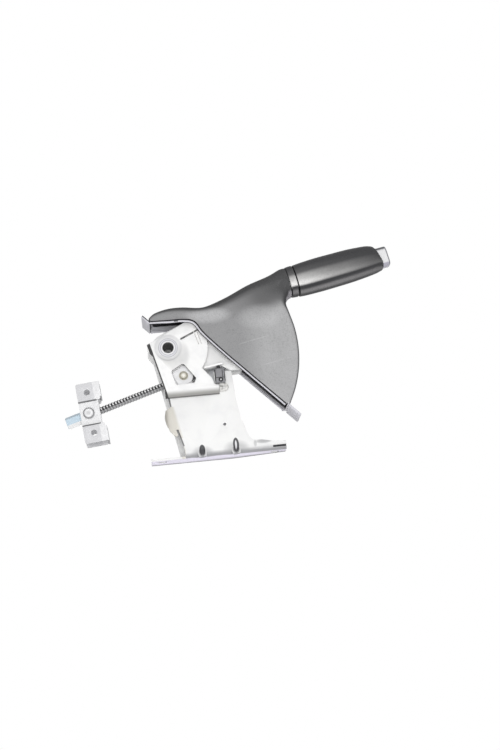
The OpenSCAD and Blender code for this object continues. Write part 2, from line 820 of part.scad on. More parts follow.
// Thin-walled shroud: an outer and an inner skin of sides, top and front, joined round both openings
module shroud_shell() {
  m = 2 * arch + 3;
  top = curve(top_rows(), 2);
  front = curve(front_rows(), 2);
  a = len(top);
  b = len(front);
  low = concat([for (i = [0:matched]) [top[i][2], top[i][3]]], [for (t = edge_points) on_edge(t)]);
  c = len(low);
  up = [-sin(grip_angle), cos(grip_angle)];
  size = (a + b) * m + 2 * c + 2;
  // Numbers of the points of one skin
  function T(i, j) = i * m + j;
  function F(i, j) = (a + i) * m + j;
  function L(i, far) = (a + b) * m + far * c + i;
  function Q(far) = (a + b) * m + 2 * c + far;
  function skin(inset) = concat(
    [for (ring = sections(top, inset, a - 1, -up)) each ring],
    [for (ring = sections(front, inset, 0, up)) each ring],
    [for (far = [-1, 1], p = low) [pivot.x + p.x, far * (shroud_w - inset), pivot.y + p.y]],
    [for (far = [-1, 1]) [pivot.x + hub_of_side.x, far * (19.8 + shroud_w - 23 - inset), pivot.y + hub_of_side.y]]
  );
  function loop(j, far) = concat(
    [for (i = [matched:a - 1]) T(i, j)], [for (i = [0:b - 1]) F(i, j)], [for (i = [c - 1:-1:matched]) L(i, far)]
  );
  near = loop(0, 0);
  away = loop(m - 1, 1);
  turns = len(near);
  faces = concat(
    [for (i = [0:a - 2], j = [0:m - 2]) each quad(T(i, j), T(i, j + 1), T(i + 1, j + 1), T(i + 1, j))],
    [for (i = [0:b - 2], j = [0:m - 2]) each quad(F(i, j), F(i, j + 1), F(i + 1, j + 1), F(i + 1, j))],
    [for (i = [0:matched - 1]) each quad(T(i, 0), T(i + 1, 0), L(i + 1, 0), L(i, 0))],
    [for (i = [0:matched - 1]) each quad(L(i, 1), L(i + 1, 1), T(i + 1, m - 1), T(i, m - 1))],
    [for (i = [0:turns - 1]) [Q(0), near[i], near[(i + 1) % turns]]],
    [for (i = [0:turns - 1]) [Q(1), away[(i + 1) % turns], away[i]]]
  );
  // Edges of the two openings: underneath, and at the neck's mouth
  under = concat(
    [for (i = [0:c - 1]) L(i, 0)], [for (j = [0:m - 1]) F(b - 1, j)], [for (i = [c - 1:-1:0]) L(i, 1)],
    [for (j = [m - 1:-1:0]) T(0, j)]
  );
  mouth = concat([for (j = [0:m - 1]) T(a - 1, j)], [for (j = [m - 1:-1:0]) F(0, j)]);
  function strip(edge) = [for (i = [0:len(edge) - 1])
    let (p = edge[i], q = edge[(i + 1) % len(edge)])
      each quad(p, q, q + size, p + size)];
  polyhedron(
    concat(skin(0), skin(shroud_t)),
    concat(
      faces, [for (f = faces) [f[2] + size, f[1] + size, f[0] + size]], strip(under), strip(mouth)
    ),
    convexity = 10
  );
}

// Flat lip across the shroud, from start to length along a direction
module cross_lip(from, angle, start, length) {
  half = shroud_w - 0.4;
  translate([from.x, 0, from.y]) rotate([0, -angle, 0])
    translate([start, -half, -shroud_t / 2]) cube([length - start, 2 * half, shroud_t]);
}

module shroud() {
  edge_angle = atan2(edge_to.y - edge_from.y, edge_to.x - edge_from.x);
  color(plastic) union() {
    shroud_shell();
    cross_lip(pivot + [-18.2, 30.8], 141.5, 1.2, lip_rear);
    cross_lip(pivot + edge_to, edge_angle, -0.2, lip_front);
  }
}

module grip_collar() {
  h = collar_h;
  spigot = h - 0.4 - shroud_t - gap;
  color(soft) on_grip() difference() {
    loft([
      oval(-4, spigot, spigot, spigot, 0.6 * spigot), oval(groove - 0.01, spigot, spigot, spigot, 0.6 * spigot),
      oval(groove, h, h, h - 1.4, 0.55 * h), oval(groove + 0.7, h + 0.4, h + 0.4, h - 1, 0.55 * h),
      oval(collar_end - 0.7, h + 0.9, h + 1, h - 0.7, 0.57 * h), oval(collar_end, h + 0.5, h + 0.6, h - 1.1, 0.55 * h)
    ]);
    along(tube_r, -4 - cut, collar_end + cut);
  }
}

// Grip sections, each row: place along the grip, top, bottom, half width, crease
function grip_rows() = let (h = grip_h, w = grip_w, l = grip_l, x = collar_end + groove) [
  [x, h - 2.6, h - 1.6, w - 0.6, h - 9], [x + 10, h - 1.1, h - 1, w - 0.4, h - 8.4],
  [0.34 * l, h + 0.6, h - 0.6, w, h - 7.4], [0.5 * l, h + 0.9, h - 0.6, w, h - 6.9],
  [0.67 * l, h + 0.6, h - 1, w - 0.3, h - 7], [0.83 * l, h - 1.4, h - 2.4, w - 1.2, h - 8.6],
  [0.92 * l, h - 2.9, h - 4, w - 2, h - 10], [l - 4, h - 4.6, h - 5.4, w - 2.8, h - 10.8],
  [l - 1.2, h - 6.6, h - 6.4, w - 3.8, h - 11.2], [l, h - 8, h - 7.4, w - 4.8, h - 12]
];

module grip() {
  color(soft) on_grip() difference() {
    loft([for (r = curve(grip_rows(), 2)) oval(r[0], r[1], r[2], r[3], r[4])]);
    along(tube_r, -cut, tube_end + cut);
    translate([tube_end, 0, 0]) rotate([90, 0, 90]) linear_extrude(grip_l)
      rounded(button_w + 2 * gap, button_h + 2 * gap, button_corner + gap);
  }
}

// Forged eye on the clevis pin with a threaded neck
module rod_eye() {
  width = cheek_in - gap / 2;
  color(zinc) difference() {
    union() {
      pin(clevis, eye_r, -width, width);
      on_rod() along(neck_r, 0, neck_l);
    }
    pin(clevis, clevis_pin_r + run, -cheek_y, cheek_y);
    on_rod() along(rod_r, rod_start, neck_l + cut);
  }
}

module pull_rod() {
  color("#4a4b4d") on_rod() along(rod_r, rod_start, rod_end_s);
}

// Barrel that slides along the rod, with journals riveted over the equaliser
module trunnion() {
  y = eq_gap / 2;
  color(bright) difference() {
    union() {
      pin(trunnion_at, barrel_r, -y + 0.1, y - 0.1);
      pin(trunnion_at, barrel_r - 3, -y - eq_t - 0.1, y + eq_t + 0.1);
      for (s = [0, 1]) mirror([0, s, 0])
        taper(trunnion_at, barrel_r - 1.5, barrel_r - 3.5, y + eq_t + 0.1, y + eq_t + 2.6);
    }
    on_rod() along(rod_r + run, rod_l - 2 * barrel_r, rod_l + 2 * barrel_r);
  }
}

// Outline of one leaf of the equaliser, across by along
module leaf(low, high, from, to) {
  translate([(from + to) / 2, (low + high) / 2]) rounded(to - from, high - low, 2);
}

// Folded equaliser: recessed middle leaves, proud wings, and a fold behind each wing
module equaliser() {
  y = eq_gap / 2;
  fold_in = eq_fold - eq_t;
  color(bright) on_equaliser() difference() {
    union() {
      for (s = [0, 1]) mirror([0, s, 0]) {
        plate(y, eq_t) leaf(-eq_mid - 1.5, eq_mid + 1.5, -eq_back, eq_back + 3);
        for (side = [0, 1]) mirror([0, 0, side]) {
          plate(y + eq_step, eq_t) leaf(eq_mid, eq_l, -eq_back, fold_in);
          translate([-eq_back, y, eq_mid]) cube([2 * eq_back + 3, eq_t + eq_step, 1.6]);
        }
      }
      for (side = [0, 1]) mirror([0, 0, side])
        translate([fold_in - 0.6, -wing_y, eq_mid + 3]) cube([eq_t, 2 * wing_y, eq_l - eq_mid - 3]);
    }
    pin([0, 0], barrel_r - 3 + run, -wing_y - cut, wing_y + cut);
    for (side = [-1, 1]) pin([1.9, side * cable_hole_at], cable_hole_r, -wing_y - cut, wing_y + cut);
  }
}

module adjusting_nut() {
  color("#a9c1d6") on_rod() difference() {
    translate([nut_start, 0, 0]) rotate([0, 90, 0]) cylinder(h = nut_l, r = nut_af / sqrt(3), $fn = 6);
    along(rod_r + run, nut_start - cut, nut_start + nut_l + cut);
  }
}

mounting_bracket();
near_side_plate();
far_side_plate();
ratchet_plate();
pivot_tube();
pivot_spacers();
switch_body();
switch_clip();
switch_plunger();
near_lever_cheek();
far_lever_cheek();
lever_hub();
pivot_bush();
cheek_spacers();
clevis_pin();
keeper_plate();
pawl_pin();
pawl();
lever_tube();
rod_guide();
spring_seat();
release_spring();
release_rod();
release_button();
shroud();
grip_collar();
grip();
rod_eye();
pull_rod();
trunnion();
equaliser();
adjusting_nut();
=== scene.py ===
"""Dress a parking brake lever: pressed steel, a moulded shroud and grip, a threaded rod."""

from __future__ import annotations

import logging
import math
from dataclasses import dataclass, field, replace
from enum import Enum
from typing import Any, Callable, Sequence

import bpy
from mathutils import Matrix, Vector


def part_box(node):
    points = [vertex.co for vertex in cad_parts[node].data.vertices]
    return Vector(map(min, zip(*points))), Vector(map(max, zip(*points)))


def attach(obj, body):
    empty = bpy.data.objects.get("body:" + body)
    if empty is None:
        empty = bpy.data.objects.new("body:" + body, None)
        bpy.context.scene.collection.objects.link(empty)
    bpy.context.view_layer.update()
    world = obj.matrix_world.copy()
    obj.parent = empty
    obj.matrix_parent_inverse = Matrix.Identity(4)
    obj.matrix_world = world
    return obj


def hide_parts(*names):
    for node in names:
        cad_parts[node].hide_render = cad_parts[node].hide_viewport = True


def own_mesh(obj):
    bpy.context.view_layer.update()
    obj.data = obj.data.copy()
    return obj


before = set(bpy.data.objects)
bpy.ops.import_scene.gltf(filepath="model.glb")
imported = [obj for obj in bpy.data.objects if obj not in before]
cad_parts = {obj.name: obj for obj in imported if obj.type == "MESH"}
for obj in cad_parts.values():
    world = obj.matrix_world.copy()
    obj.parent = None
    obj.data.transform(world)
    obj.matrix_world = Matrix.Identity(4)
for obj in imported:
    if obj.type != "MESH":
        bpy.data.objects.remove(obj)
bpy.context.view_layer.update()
MM = 0.001
log = logging.getLogger("brake_lever")
Colour = tuple[float, float, float]
Pair = tuple[float, float]
Way = tuple[float, float, float]
Reach = Callable[[float], float]
Grid = list[list[Vector]]
Piece = bpy.types.Object
ORIGIN = Vector((0, 0, 0))
FORE, BACK, FAR, UP, DOWN = (1, 0, 0), (-1, 0, 0), (0, 1, 0), (0, 0, 1), (0, 0, -1)
BLACK = (0.0, 0.0, 0.0)


class Body(str, Enum):
    """Bodies that the pieces ride on."""

    BRACKET = "bracket"
    LEVER = "lever"
    BUTTON = "button"
    ROD = "pull_rod"
    TRUNNION = "trunnion"
    EQUALISER = "equaliser"
    NUT = "nut"


class Slot(str, Enum):
    """Material slots of the record."""

    PRESSING = "steel_pressing"
    ZINC = "zinc_steel"
    BRIGHT = "bright_plate"
    BLUE = "blue_zinc"
    ROD = "black_rod"
    SHROUD = "shroud_plastic"
    GRIP = "grip_soft"
    SWITCH = "switch_plastic"
    PLUNGER = "plunger_black"
    CLIP = "clip_plate"


def middle(node: str) -> Vector:
    """Centre of a CAD node's box at rest, in millimetres."""
    low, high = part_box(node)
    return (low + high) / 2 / MM


def flat(x: float, z: float) -> Vector:
    """Point on the centre plane."""
    return Vector((x, 0, z))


def mirrored(spot: Vector) -> Vector:
    """Same point on the other side of the centre plane."""
    return Vector((spot.x, -spot.y, spot.z))


def heading(angle: float) -> tuple[Vector, Vector]:
    """Directions along a slope and square to it, for its angle in degrees."""
    turn = math.radians(angle)
    return flat(math.cos(turn), math.sin(turn)), flat(-math.sin(turn), math.cos(turn))


def ease(share: float) -> float:
    """Smooth step from 0 to 1 with level ends."""
    share = min(1.0, max(0.0, share))
    return share * share * (3 - 2 * share)


def mix(start: float, end: float, share: float) -> float:
    """Value between two numbers."""
    return start + (end - start) * share


def flow(rows: Sequence[Sequence[float]], steps: int) -> list[list[float]]:
    """Run a smooth curve through rows of numbers.

    Args:
        rows: Rows of equal length that the curve passes through.
        steps: Curve steps between two rows.

    Returns:
        The rows along the curve, the given ones among them.
    """
    last = len(rows) - 1
    result = []
    for i in range(last):
        quads = list(zip(rows[max(i - 1, 0)], rows[i], rows[i + 1], rows[min(i + 2, last)]))
        for step in range(steps):
            t = step / steps
            result.append([
                0.5 * (2 * b + (c - a) * t + (2 * a - 5 * b + 4 * c - d) * t * t
                       + (3 * b - a - 3 * c + d) * t ** 3)
                for a, b, c, d in quads
            ])
    result.append(list(rows[last]))
    return result


def turns(sides: int) -> list[float]:
    """Angles round a closed ring, with the first repeated at the end."""
    return [2 * math.pi * (i % sides) / sides for i in range(sides + 1)]


def squared(wide: float, tall: float, power: float = 2) -> Reach:
    """Radius by angle of an oval at power 2, and of a rounded rectangle above it."""
    return lambda turn: (abs(math.cos(turn) / wide) ** power
                         + abs(math.sin(turn) / tall) ** power) ** (-1 / power)


def ring(x: float, angles: Sequence[float], reach: Reach) -> list[Vector]:
    """Ring of points across X.

    Args:
        x: Place of the ring.
        angles: Angles of its points.
        reach: Radius at an angle.

    Returns:
        One point for each angle.
    """
    points = []
    for turn in angles:
        r = reach(turn)
        points.append(Vector((x, r * math.cos(turn), r * math.sin(turn))))
    return points


class Bench:
    """Modelling operations that the assemblies share. Sizes are in millimetres."""

    MERGE = 0.004 * MM
    # Angles in degrees: faces that count as level, edges that are rounded, turned edges kept crisp
    LEVEL, CREASE, TURNED = 0.5, 38, 32

    @staticmethod
    def clear() -> None:
        """Leave edit mode and deselect everything."""
        if bpy.context.mode != "OBJECT":
            bpy.ops.object.mode_set(mode="OBJECT")
        bpy.ops.object.select_all(action="DESELECT")

    @staticmethod
    def take(piece: Piece) -> None:
        """Make a piece the only selected object and the active one.

        Args:
            piece: Piece to select.
        """
        Bench.clear()
        piece.select_set(True)
        bpy.context.view_layer.objects.active = piece

    @staticmethod
    def edit_all(piece: Piece) -> None:
        """Open a piece in edit mode with all of it selected.

        Args:
            piece: Piece to open.
        """
        Bench.take(piece)
        bpy.ops.object.mode_set(mode="EDIT")
        bpy.ops.mesh.select_all(action="SELECT")

    @staticmethod
    def named(name: str) -> Piece:
        """Name the object that an operator has just added.

        Args:
            name: Name of the object and of its mesh.

        Returns:
            The object.
        """
        piece = bpy.context.object
        piece.name = piece.data.name = name
        return piece

    @staticmethod
    def finish(piece: Piece) -> Piece:
        """Apply every modifier of a piece in order.

        Args:
            piece: Piece with its modifiers.

        Returns:
            The piece.
        """
        Bench.take(piece)
        for modifier in list(piece.modifiers):
            bpy.ops.object.modifier_apply(modifier=modifier.name)
        return piece

    @staticmethod
    def smooth(piece: Piece, angle: float) -> Piece:
        """Shade a piece smooth, with edges sharper than the angle kept crisp.

        Args:
            piece: Piece to shade.
            angle: Angle in degrees.

        Returns:
            The piece.
        """
        Bench.take(piece)
        bpy.ops.object.shade_smooth_by_angle(angle=math.radians(angle))
        return piece

    @staticmethod
    def tidy(piece: Piece) -> Piece:
        """Merge doubles and point the faces outwards.

        Args:
            piece: Piece to clean.

        Returns:
            The piece.
        """
        Bench.edit_all(piece)
        bpy.ops.mesh.remove_doubles(threshold=Bench.MERGE)
        bpy.ops.mesh.normals_make_consistent(inside=False)
        Bench.clear()
        return piece

    @staticmethod
    def place(piece: Piece, matrix: Matrix) -> Piece:
        """Move a piece's mesh by a matrix in millimetres, with its object left at the origin.

        Args:
            piece: Piece to move.
            matrix: Move in millimetres.

        Returns:
            The piece.
        """
        move = matrix.copy()
        move.translation *= MM
        piece.data.transform(move)
        return piece

    @staticmethod
    def soften(piece: Piece, width: float, segments: int = 2) -> Piece:
        """Round the edges of a piece.

        Args:
            piece: Piece to round.
            width: Width of the rounding.
            segments: Faces across the rounding.

        Returns:
            The rounded piece.
        """
        bevel = piece.modifiers.new("rounding", "BEVEL")
        bevel.width = width * MM
        bevel.segments = segments
        bevel.limit_method = "ANGLE"
        bevel.angle_limit = math.radians(Bench.CREASE)
        bevel.use_clamp_overlap = True
        bevel.miter_outer = "MITER_ARC"
        return Bench.smooth(Bench.finish(piece), Bench.CREASE)

    @staticmethod
    def from_cad(node: str, name: str, rounding: float = 0.0, segments: int = 2) -> Piece:
        """Copy a CAD node's mesh, merged, with flat faces joined and edges rounded.

        Args:
            node: CAD node to copy.
            name: Name of the new piece.
            rounding: Width of the rounding, or 0 for none.
            segments: Faces across the rounding.

        Returns:
            The copy, with no material.
        """
        piece = bpy.data.objects.new(name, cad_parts[node].data.copy())
        bpy.context.scene.collection.objects.link(piece)
        piece.data.materials.clear()
        Bench.take(piece)
        bpy.ops.mesh.customdata_custom_splitnormals_clear()
        Bench.edit_all(piece)
        bpy.ops.mesh.remove_doubles(threshold=Bench.MERGE)
        bpy.ops.mesh.dissolve_limited(angle_limit=math.radians(Bench.LEVEL))
        Bench.clear()
        return Bench.soften(piece, rounding, segments) if rounding else piece

    @staticmethod
    def skin(name: str, rows: Sequence[Sequence[Vector]]) -> Piece:
        """Lay a grid over rows of points. Points that fall together are merged.

        Args:
            name: Name of the piece.
            rows: Rows with equal numbers of points, in millimetres.

        Returns:
            The piece, with its faces pointing outwards where it is closed.
        """
        count, across = len(rows) - 1, len(rows[0]) - 1
        Bench.clear()
        bpy.ops.mesh.primitive_grid_add(x_subdivisions=across, y_subdivisions=count, size=2)
        piece = Bench.named(name)
        for vertex in piece.data.vertices:
            column = round((vertex.co.x + 1) / 2 * across)
            row = round((vertex.co.y + 1) / 2 * count)
            vertex.co = rows[row][column] * MM
        return Bench.tidy(piece)

    @staticmethod
    def turn(name: str, profile: Sequence[Pair], stand: Matrix, sides: int = 56) -> Piece:
        """Turn a profile about Z: a circle that is extruded and resized from step to step.

        Args:
            name: Name of the piece.
            profile: Heights and radii along the profile. One that ends where it starts closes.
            stand: Frame whose Z becomes the axis.
            sides: Number of sides.

        Returns:
            The closed piece.
        """
        height, radius = profile[0]
        Bench.clear()
        bpy.ops.mesh.primitive_circle_add(vertices=sides, radius=radius * MM)
        piece = Bench.named(name)
        Bench.edit_all(piece)
        bpy.ops.transform.translate(value=(0, 0, height * MM))
        for top, wide in profile[1:]:
            step = {"value": (0, 0, (top - height) * MM)}
            bpy.ops.mesh.extrude_region_move(TRANSFORM_OT_translate=step)
            grow = wide / radius
            bpy.ops.transform.resize(value=(grow, grow, 1), center_override=(0, 0, top * MM))
            height, radius = top, wide
        bpy.ops.mesh.select_all(action="SELECT")
        bpy.ops.mesh.remove_doubles(threshold=Bench.MERGE)
        bpy.ops.mesh.fill_holes(sides=0)
        bpy.ops.mesh.normals_make_consistent(inside=False)
        return Bench.place(Bench.smooth(piece, Bench.TURNED), stand)

    @staticmethod
    def block(name: str, low: Sequence[float], high: Sequence[float], rounding: float) -> Piece:
        """Box between two corners with rounded edges.

        Args:
            name: Name of the piece.
            low: Lowest corner.
            high: Highest corner.
            rounding: Width of the rounding.

        Returns:
            The box, with its object at the origin.
        """
        low, high = Vector(low) * MM, Vector(high) * MM
        Bench.clear()
        bpy.ops.mesh.primitive_cube_add(size=1)
        piece = Bench.named(name)
        Bench.edit_all(piece)
        bpy.ops.transform.resize(value=high - low, center_override=(0, 0, 0))
        bpy.ops.transform.translate(value=(low + high) / 2)
        Bench.clear()
        return Bench.soften(piece, rounding)

    @staticmethod
    def join(name: str, pieces: Sequence[Piece]) -> Piece:
        """Join pieces into the first one.

        Args:
            name: Name of the joined piece.
            pieces: Pieces to join.

        Returns:
            The joined piece.
        """
        Bench.take(pieces[0])
        for piece in pieces:
            piece.select_set(True)
        bpy.ops.object.join()
        return Bench.named(name)


class Wire:
    """Shader socket that takes part in Python arithmetic."""

    def __init__(self, graph: "Graph", socket: bpy.types.NodeSocket) -> None:
        """Keep the socket and the graph that it belongs to."""
        self.graph = graph
        self.socket = socket

    def maths(self, operation: str, *values: Any) -> "Wire":
        """Add a Math node on values or wires."""
        return self.graph.add("ShaderNodeMath", {"operation": operation}, dict(enumerate(values)))

    def __add__(self, other: Any) -> "Wire":
        """Sum."""
        return self.maths("ADD", self, other)

    __radd__ = __add__

    def __sub__(self, other: Any) -> "Wire":
        """Difference."""
        return self.maths("SUBTRACT", self, other)

    def __rsub__(self, other: Any) -> "Wire":
        """Difference, with the wire taken away."""
        return self.maths("SUBTRACT", other, self)

    def __mul__(self, other: Any) -> "Wire":
        """Product."""
        return self.maths("MULTIPLY", self, other)

    __rmul__ = __mul__

    def __truediv__(self, other: Any) -> "Wire":
        """Quotient."""
        return self.maths("DIVIDE", self, other)

    def __rtruediv__(self, other: Any) -> "Wire":
        """Quotient, with the wire as the divisor."""
        return self.maths("DIVIDE", other, self)

    def __abs__(self) -> "Wire":
        """Size without sign."""
        return self.maths("ABSOLUTE", self)

    def root(self) -> "Wire":
        """Square root."""
        return self.maths("SQRT", self)

    def high(self, other: Any) -> "Wire":
        """Greater of two values."""
        return self.maths("MAXIMUM", self, other)

    def fade(self, start: float, end: float) -> "Wire":
        """Smooth step from 0 at start to 1 at end.

        Args:
            start: Value that gives 0.
            end: Value that gives 1.

        Returns:
            The wire of the step.
        """
        return self.graph.add(
            "ShaderNodeMapRange", {"interpolation_type": "SMOOTHSTEP"},
            {"Value": self, "From Min": start, "From Max": end, "To Min": 0.0, "To Max": 1.0},
        )

    def hump(self, rise: float, full: float, fall: float, end: float) -> "Wire":
        """Mask that rises to 1 between two values and falls to 0 between two more."""
        return self.fade(rise, full) * (1 - self.fade(fall, end))


class Graph:
    """Node tree of one material or of the world."""

    def __init__(self, tree: bpy.types.NodeTree) -> None:
        """Start from an empty tree."""
        self.tree = tree
        tree.nodes.clear()

    def add(self, kind: str, settings: dict[str, Any] | None = None,
            inputs: dict[Any, Any] | None = None, output: Any = 0) -> Wire:
        """Add a node.

        Args:
            kind: Blender's name of the node.
            settings: Properties of the node, set first.
            inputs: Values or wires by socket name or number.
            output: Name or number of the socket that is returned.

        Returns:
            The wire of that output.
        """
        node = self.tree.nodes.new(kind)
        for key, value in (settings or {}).items():
            setattr(node, key, value)
        for key, value in (inputs or {}).items():
            if isinstance(value, Wire):
                self.tree.links.new(value.socket, node.inputs[key])
            else:
                node.inputs[key].default_value = value
        return Wire(self, node.outputs[output]) if node.outputs else Wire(self, None)

    def vector(self, operation: str, *values: Any, output: Any = 0) -> Wire:
        """Add a Vector Math node on values or wires."""
        inputs = dict(enumerate(values))
        return self.add("ShaderNodeVectorMath", {"operation": operation}, inputs, output)

    def place(self) -> Wire:
        """Object coordinates, in metres."""
        return self.add("ShaderNodeTexCoord", output="Object")

    def away(self, root: Vector) -> Wire:
        """Object coordinates measured from a root, in metres."""
        return self.vector("SUBTRACT", self.place(), tuple(root * MM))

    def noise(self, size: float, detail: float = 2.0) -> Wire:
        """Noise from 0 to 1 with features of about a size in millimetres."""
        return self.add("ShaderNodeTexNoise", inputs={
            "Vector": self.place(), "Scale": 1 / (size * MM), "Detail": detail, "Roughness": 0.55})

    def axis(self, name: str) -> Wire:
        """One object coordinate in millimetres."""
        return self.add("ShaderNodeSeparateXYZ", inputs={0: self.place()}, output=name) * (1 / MM)

    def along(self, root: Vector, way: Sequence[float]) -> Wire:
        """Distance from a root along a direction, in millimetres."""
        return self.vector("DOT_PRODUCT", self.away(root), tuple(way), output="Value") * (1 / MM)

    def lean(self, way: Sequence[float]) -> Wire:
        """How far the surface faces a direction, from -1 to 1."""
        normal = self.add("ShaderNodeTexCoord", output="Normal")
        return self.vector("DOT_PRODUCT", normal, tuple(way), output="Value")

    def tint(self, mask: Wire, low: Any, high: Any) -> Wire:
        """Colour between two by a mask.

        Args:
            mask: Share of the second colour.
            low: Colour or wire where the mask is 0.
            high: Colour or wire where the mask is 1.

        Returns:
            The wire of the mixed colour.
        """
        ends = [value if isinstance(value, Wire) else (*value, 1.0) for value in (low, high)]
        # Sockets 6 and 7 take the colours, and output 2 gives the mixed one
        inputs = {0: mask, 6: ends[0], 7: ends[1]}
        return self.add("ShaderNodeMix", {"data_type": "RGBA"}, inputs, 2)

    def bump(self, height: Wire, depth: float, strength: float) -> Wire:
        """Normal roughened by a height, with the depth in millimetres."""
        return self.add("ShaderNodeBump", inputs={
            "Strength": strength, "Distance": depth * MM, "Height": height})

    def surface(self, **sockets: Any) -> None:
        """Close the tree with a Principled shader."""
        inputs = {key.replace("_", " "): value for key, value in sockets.items()}
        shader = self.add("ShaderNodeBsdfPrincipled", inputs=inputs)
        self.add("ShaderNodeOutputMaterial", inputs={"Surface": shader})


@dataclass(frozen=True)
class Finish:
    """Base of a finish, made once and shared by its pieces."""

    name: str
    colour: Colour

    def paint(self, graph: Graph) -> None:
        """Fill the material's tree."""
        raise NotImplementedError

    def material(self) -> bpy.types.Material:
        """Material of this finish.

        Returns:
            The material, which is made the first time.
        """
        title = self.name + "_finish"
        made = bpy.data.materials.get(title)
        if made is None:
            made = bpy.data.materials.new(title)
            made.use_nodes = True
            self.paint(Graph(made.node_tree))
        return made


@dataclass(frozen=True)
class Tone:
    """Colour laid over a part of a surface."""

    colour: Colour

    def share(self, graph: Graph) -> Wire:
        """Mask of the tone, from 0 to 1."""
        raise NotImplementedError


@dataclass(frozen=True)
class Facing(Tone):
    """Tone where the surface faces a direction, and within another tone."""

    way: Sequence[float]
    start: float = 0.5
    end: float = 0.85
    within: Tone | None = None

    def share(self, graph: Graph) -> Wire:
        """Mask that grows with the turn towards the direction."""
        mask = graph.lean(self.way).fade(self.start, self.end)
        return mask * self.within.share(graph) if self.within else mask


@dataclass(frozen=True)
class Ring(Tone):
    """Tone between two radii round an axis along Y."""

    at: Vector
    inner: float
    outer: float
    soft: float = 0.35
    strength: float = 1.0

    def share(self, graph: Graph) -> Wire:
        """Mask of the ring.

        Args:
            graph: Tree of the material.

        Returns:
            The wire of the mask.
        """
        x, z = graph.axis("X") - self.at.x, graph.axis("Z") - self.at.z
        reach = (x * x + z * z).root()
        mask = reach.hump(self.inner - self.soft, self.inner, self.outer, self.outer + self.soft)
        return mask * self.strength


@dataclass(frozen=True)
class Oval(Tone):
    """Tone in an oval seen from the side."""

    x: float
    z: float
    wide: float
    tall: float
    soft: float
    strength: float = 1.0
    # Y at which the tone starts to fade and ends, short of the far half
    fade_y: Pair = (-8.0, -5.0)

    def share(self, graph: Graph) -> Wire:
        """Mask of the oval on the near half.

        Args:
            graph: Tree of the material.

        Returns:
            The wire of the mask.
        """
        x = (graph.axis("X") - self.x) / self.wide
        z = (graph.axis("Z") - self.z) / self.tall
        reach = x * x + z * z
        near = 1 - graph.axis("Y").fade(*self.fade_y)
        return (1 - reach.fade(1 - self.soft, 1 + self.soft)) * near * self.strength


@dataclass(frozen=True)
class Band(Tone):
    """Tone between two distances along a direction, and within another band."""

    root: Vector
    way: Sequence[float]
    start: float
    end: float
    soft: float = 0.3
    strength: float = 1.0
    within: Band | None = None

    def share(self, graph: Graph) -> Wire:
        """Mask of the band.

        Args:
            graph: Tree of the material.

        Returns:
            The wire of the mask.
        """
        along = graph.along(self.root, self.way)
        mask = along.hump(self.start - self.soft, self.start, self.end, self.end + self.soft)
        return mask * self.strength * (self.within.share(graph) if self.within else 1.0)


def limit(way: Way, start: float, end: float, soft: float) -> Band:
    """Band from the origin that only bounds another tone."""
    return Band(BLACK, ORIGIN, way, start, end, soft)


def layered(graph: Graph, ground: Any, tones: Sequence[Tone]) -> Any:
    """Lay tones over a colour in order.

    Args:
        graph: Tree of the material.
        ground: Colour or wire under the tones.
        tones: Tones, the lowest first.

    Returns:
        The colour with the tones over it.
    """
    for tone in tones:
        ground = graph.tint(tone.share(graph), ground, tone.colour)
    return ground


@dataclass(frozen=True)
class Plated(Finish):
    """Plated sheet or turned steel with a faintly clouded surface."""

    cloud: Colour = (0.55, 0.55, 0.56)
    cloudy: float = 0.5
    cloud_size: float = 9.0
    metallic: float = 0.45
    roughness: float = 0.4
    tones: tuple[Tone, ...] = ()
    # Size of the fine grain, and its share of the clouds
    fine_size: float = 2.2
    fine_share: float = 0.15
    # Depth and strength of the rolled grain
    grain: Pair = (0.04, 0.12)

    def paint(self, graph: Graph) -> None:
        """Cloud the plating and give it a fine rolled grain.

        Args:
            graph: Tree of the material.
        """
        broad = graph.noise(self.cloud_size, 4.0)
        fine = graph.noise(self.fine_size, 1.0)
        clouds = broad.fade(0.45, 0.7) * (1 - self.fine_share)
        mask = (clouds + fine.fade(0.55, 0.8) * self.fine_share) * self.cloudy
        plate = graph.tint(mask, self.colour, self.cloud)
        graph.surface(
            Base_Color=layered(graph, plate, self.tones),
            Roughness=self.roughness + (broad - 0.5) * 0.25 + (fine - 0.5) * 0.1,
            Metallic=self.metallic,
            Normal=graph.bump(fine + broad * 0.6, *self.grain),
        )


@dataclass(frozen=True)
class Moulded(Finish):
    """Moulded plastic with a fine spark-eroded grain."""

    shade: Colour = (0.05, 0.05, 0.05)
    roughness: float = 0.55
    grain: float = 0.55
    depth: float = 0.05
    specular: float = 0.3
    speckle: float = 0.45
    # Size of the clouds and their strength, and size of the speckles in grains
    cloud_size: float = 22.0
    cloudy: float = 0.2
    speckle_size: float = 1.7

    def ground(self, graph: Graph) -> tuple[Any, Any]:
        """Light and dark colours that the grain mixes."""
        return self.colour, self.shade

    def colour_over(self, graph: Graph) -> Wire:
        """Colour with faint clouds and speckles.

        Args:
            graph: Tree of the material.

        Returns:
            The wire of the colour.
        """
        broad = graph.noise(self.cloud_size, 3.0)
        grain = graph.noise(self.grain * self.speckle_size, 1.5)
        mask = broad.fade(0.35, 0.75) * self.cloudy + grain.fade(0.42, 0.7) * self.speckle
        return graph.tint(mask, *self.ground(graph))

    def paint(self, graph: Graph) -> None:
        """Grain the surface.

        Args:
            graph: Tree of the material.
        """
        grain = graph.noise(self.grain)
        graph.surface(
            Base_Color=self.colour_over(graph),
            Roughness=self.roughness + (grain - 0.5) * 0.2,
            Specular_IOR_Level=self.specular,
            Normal=graph.bump(grain, self.depth, 0.6),
        )


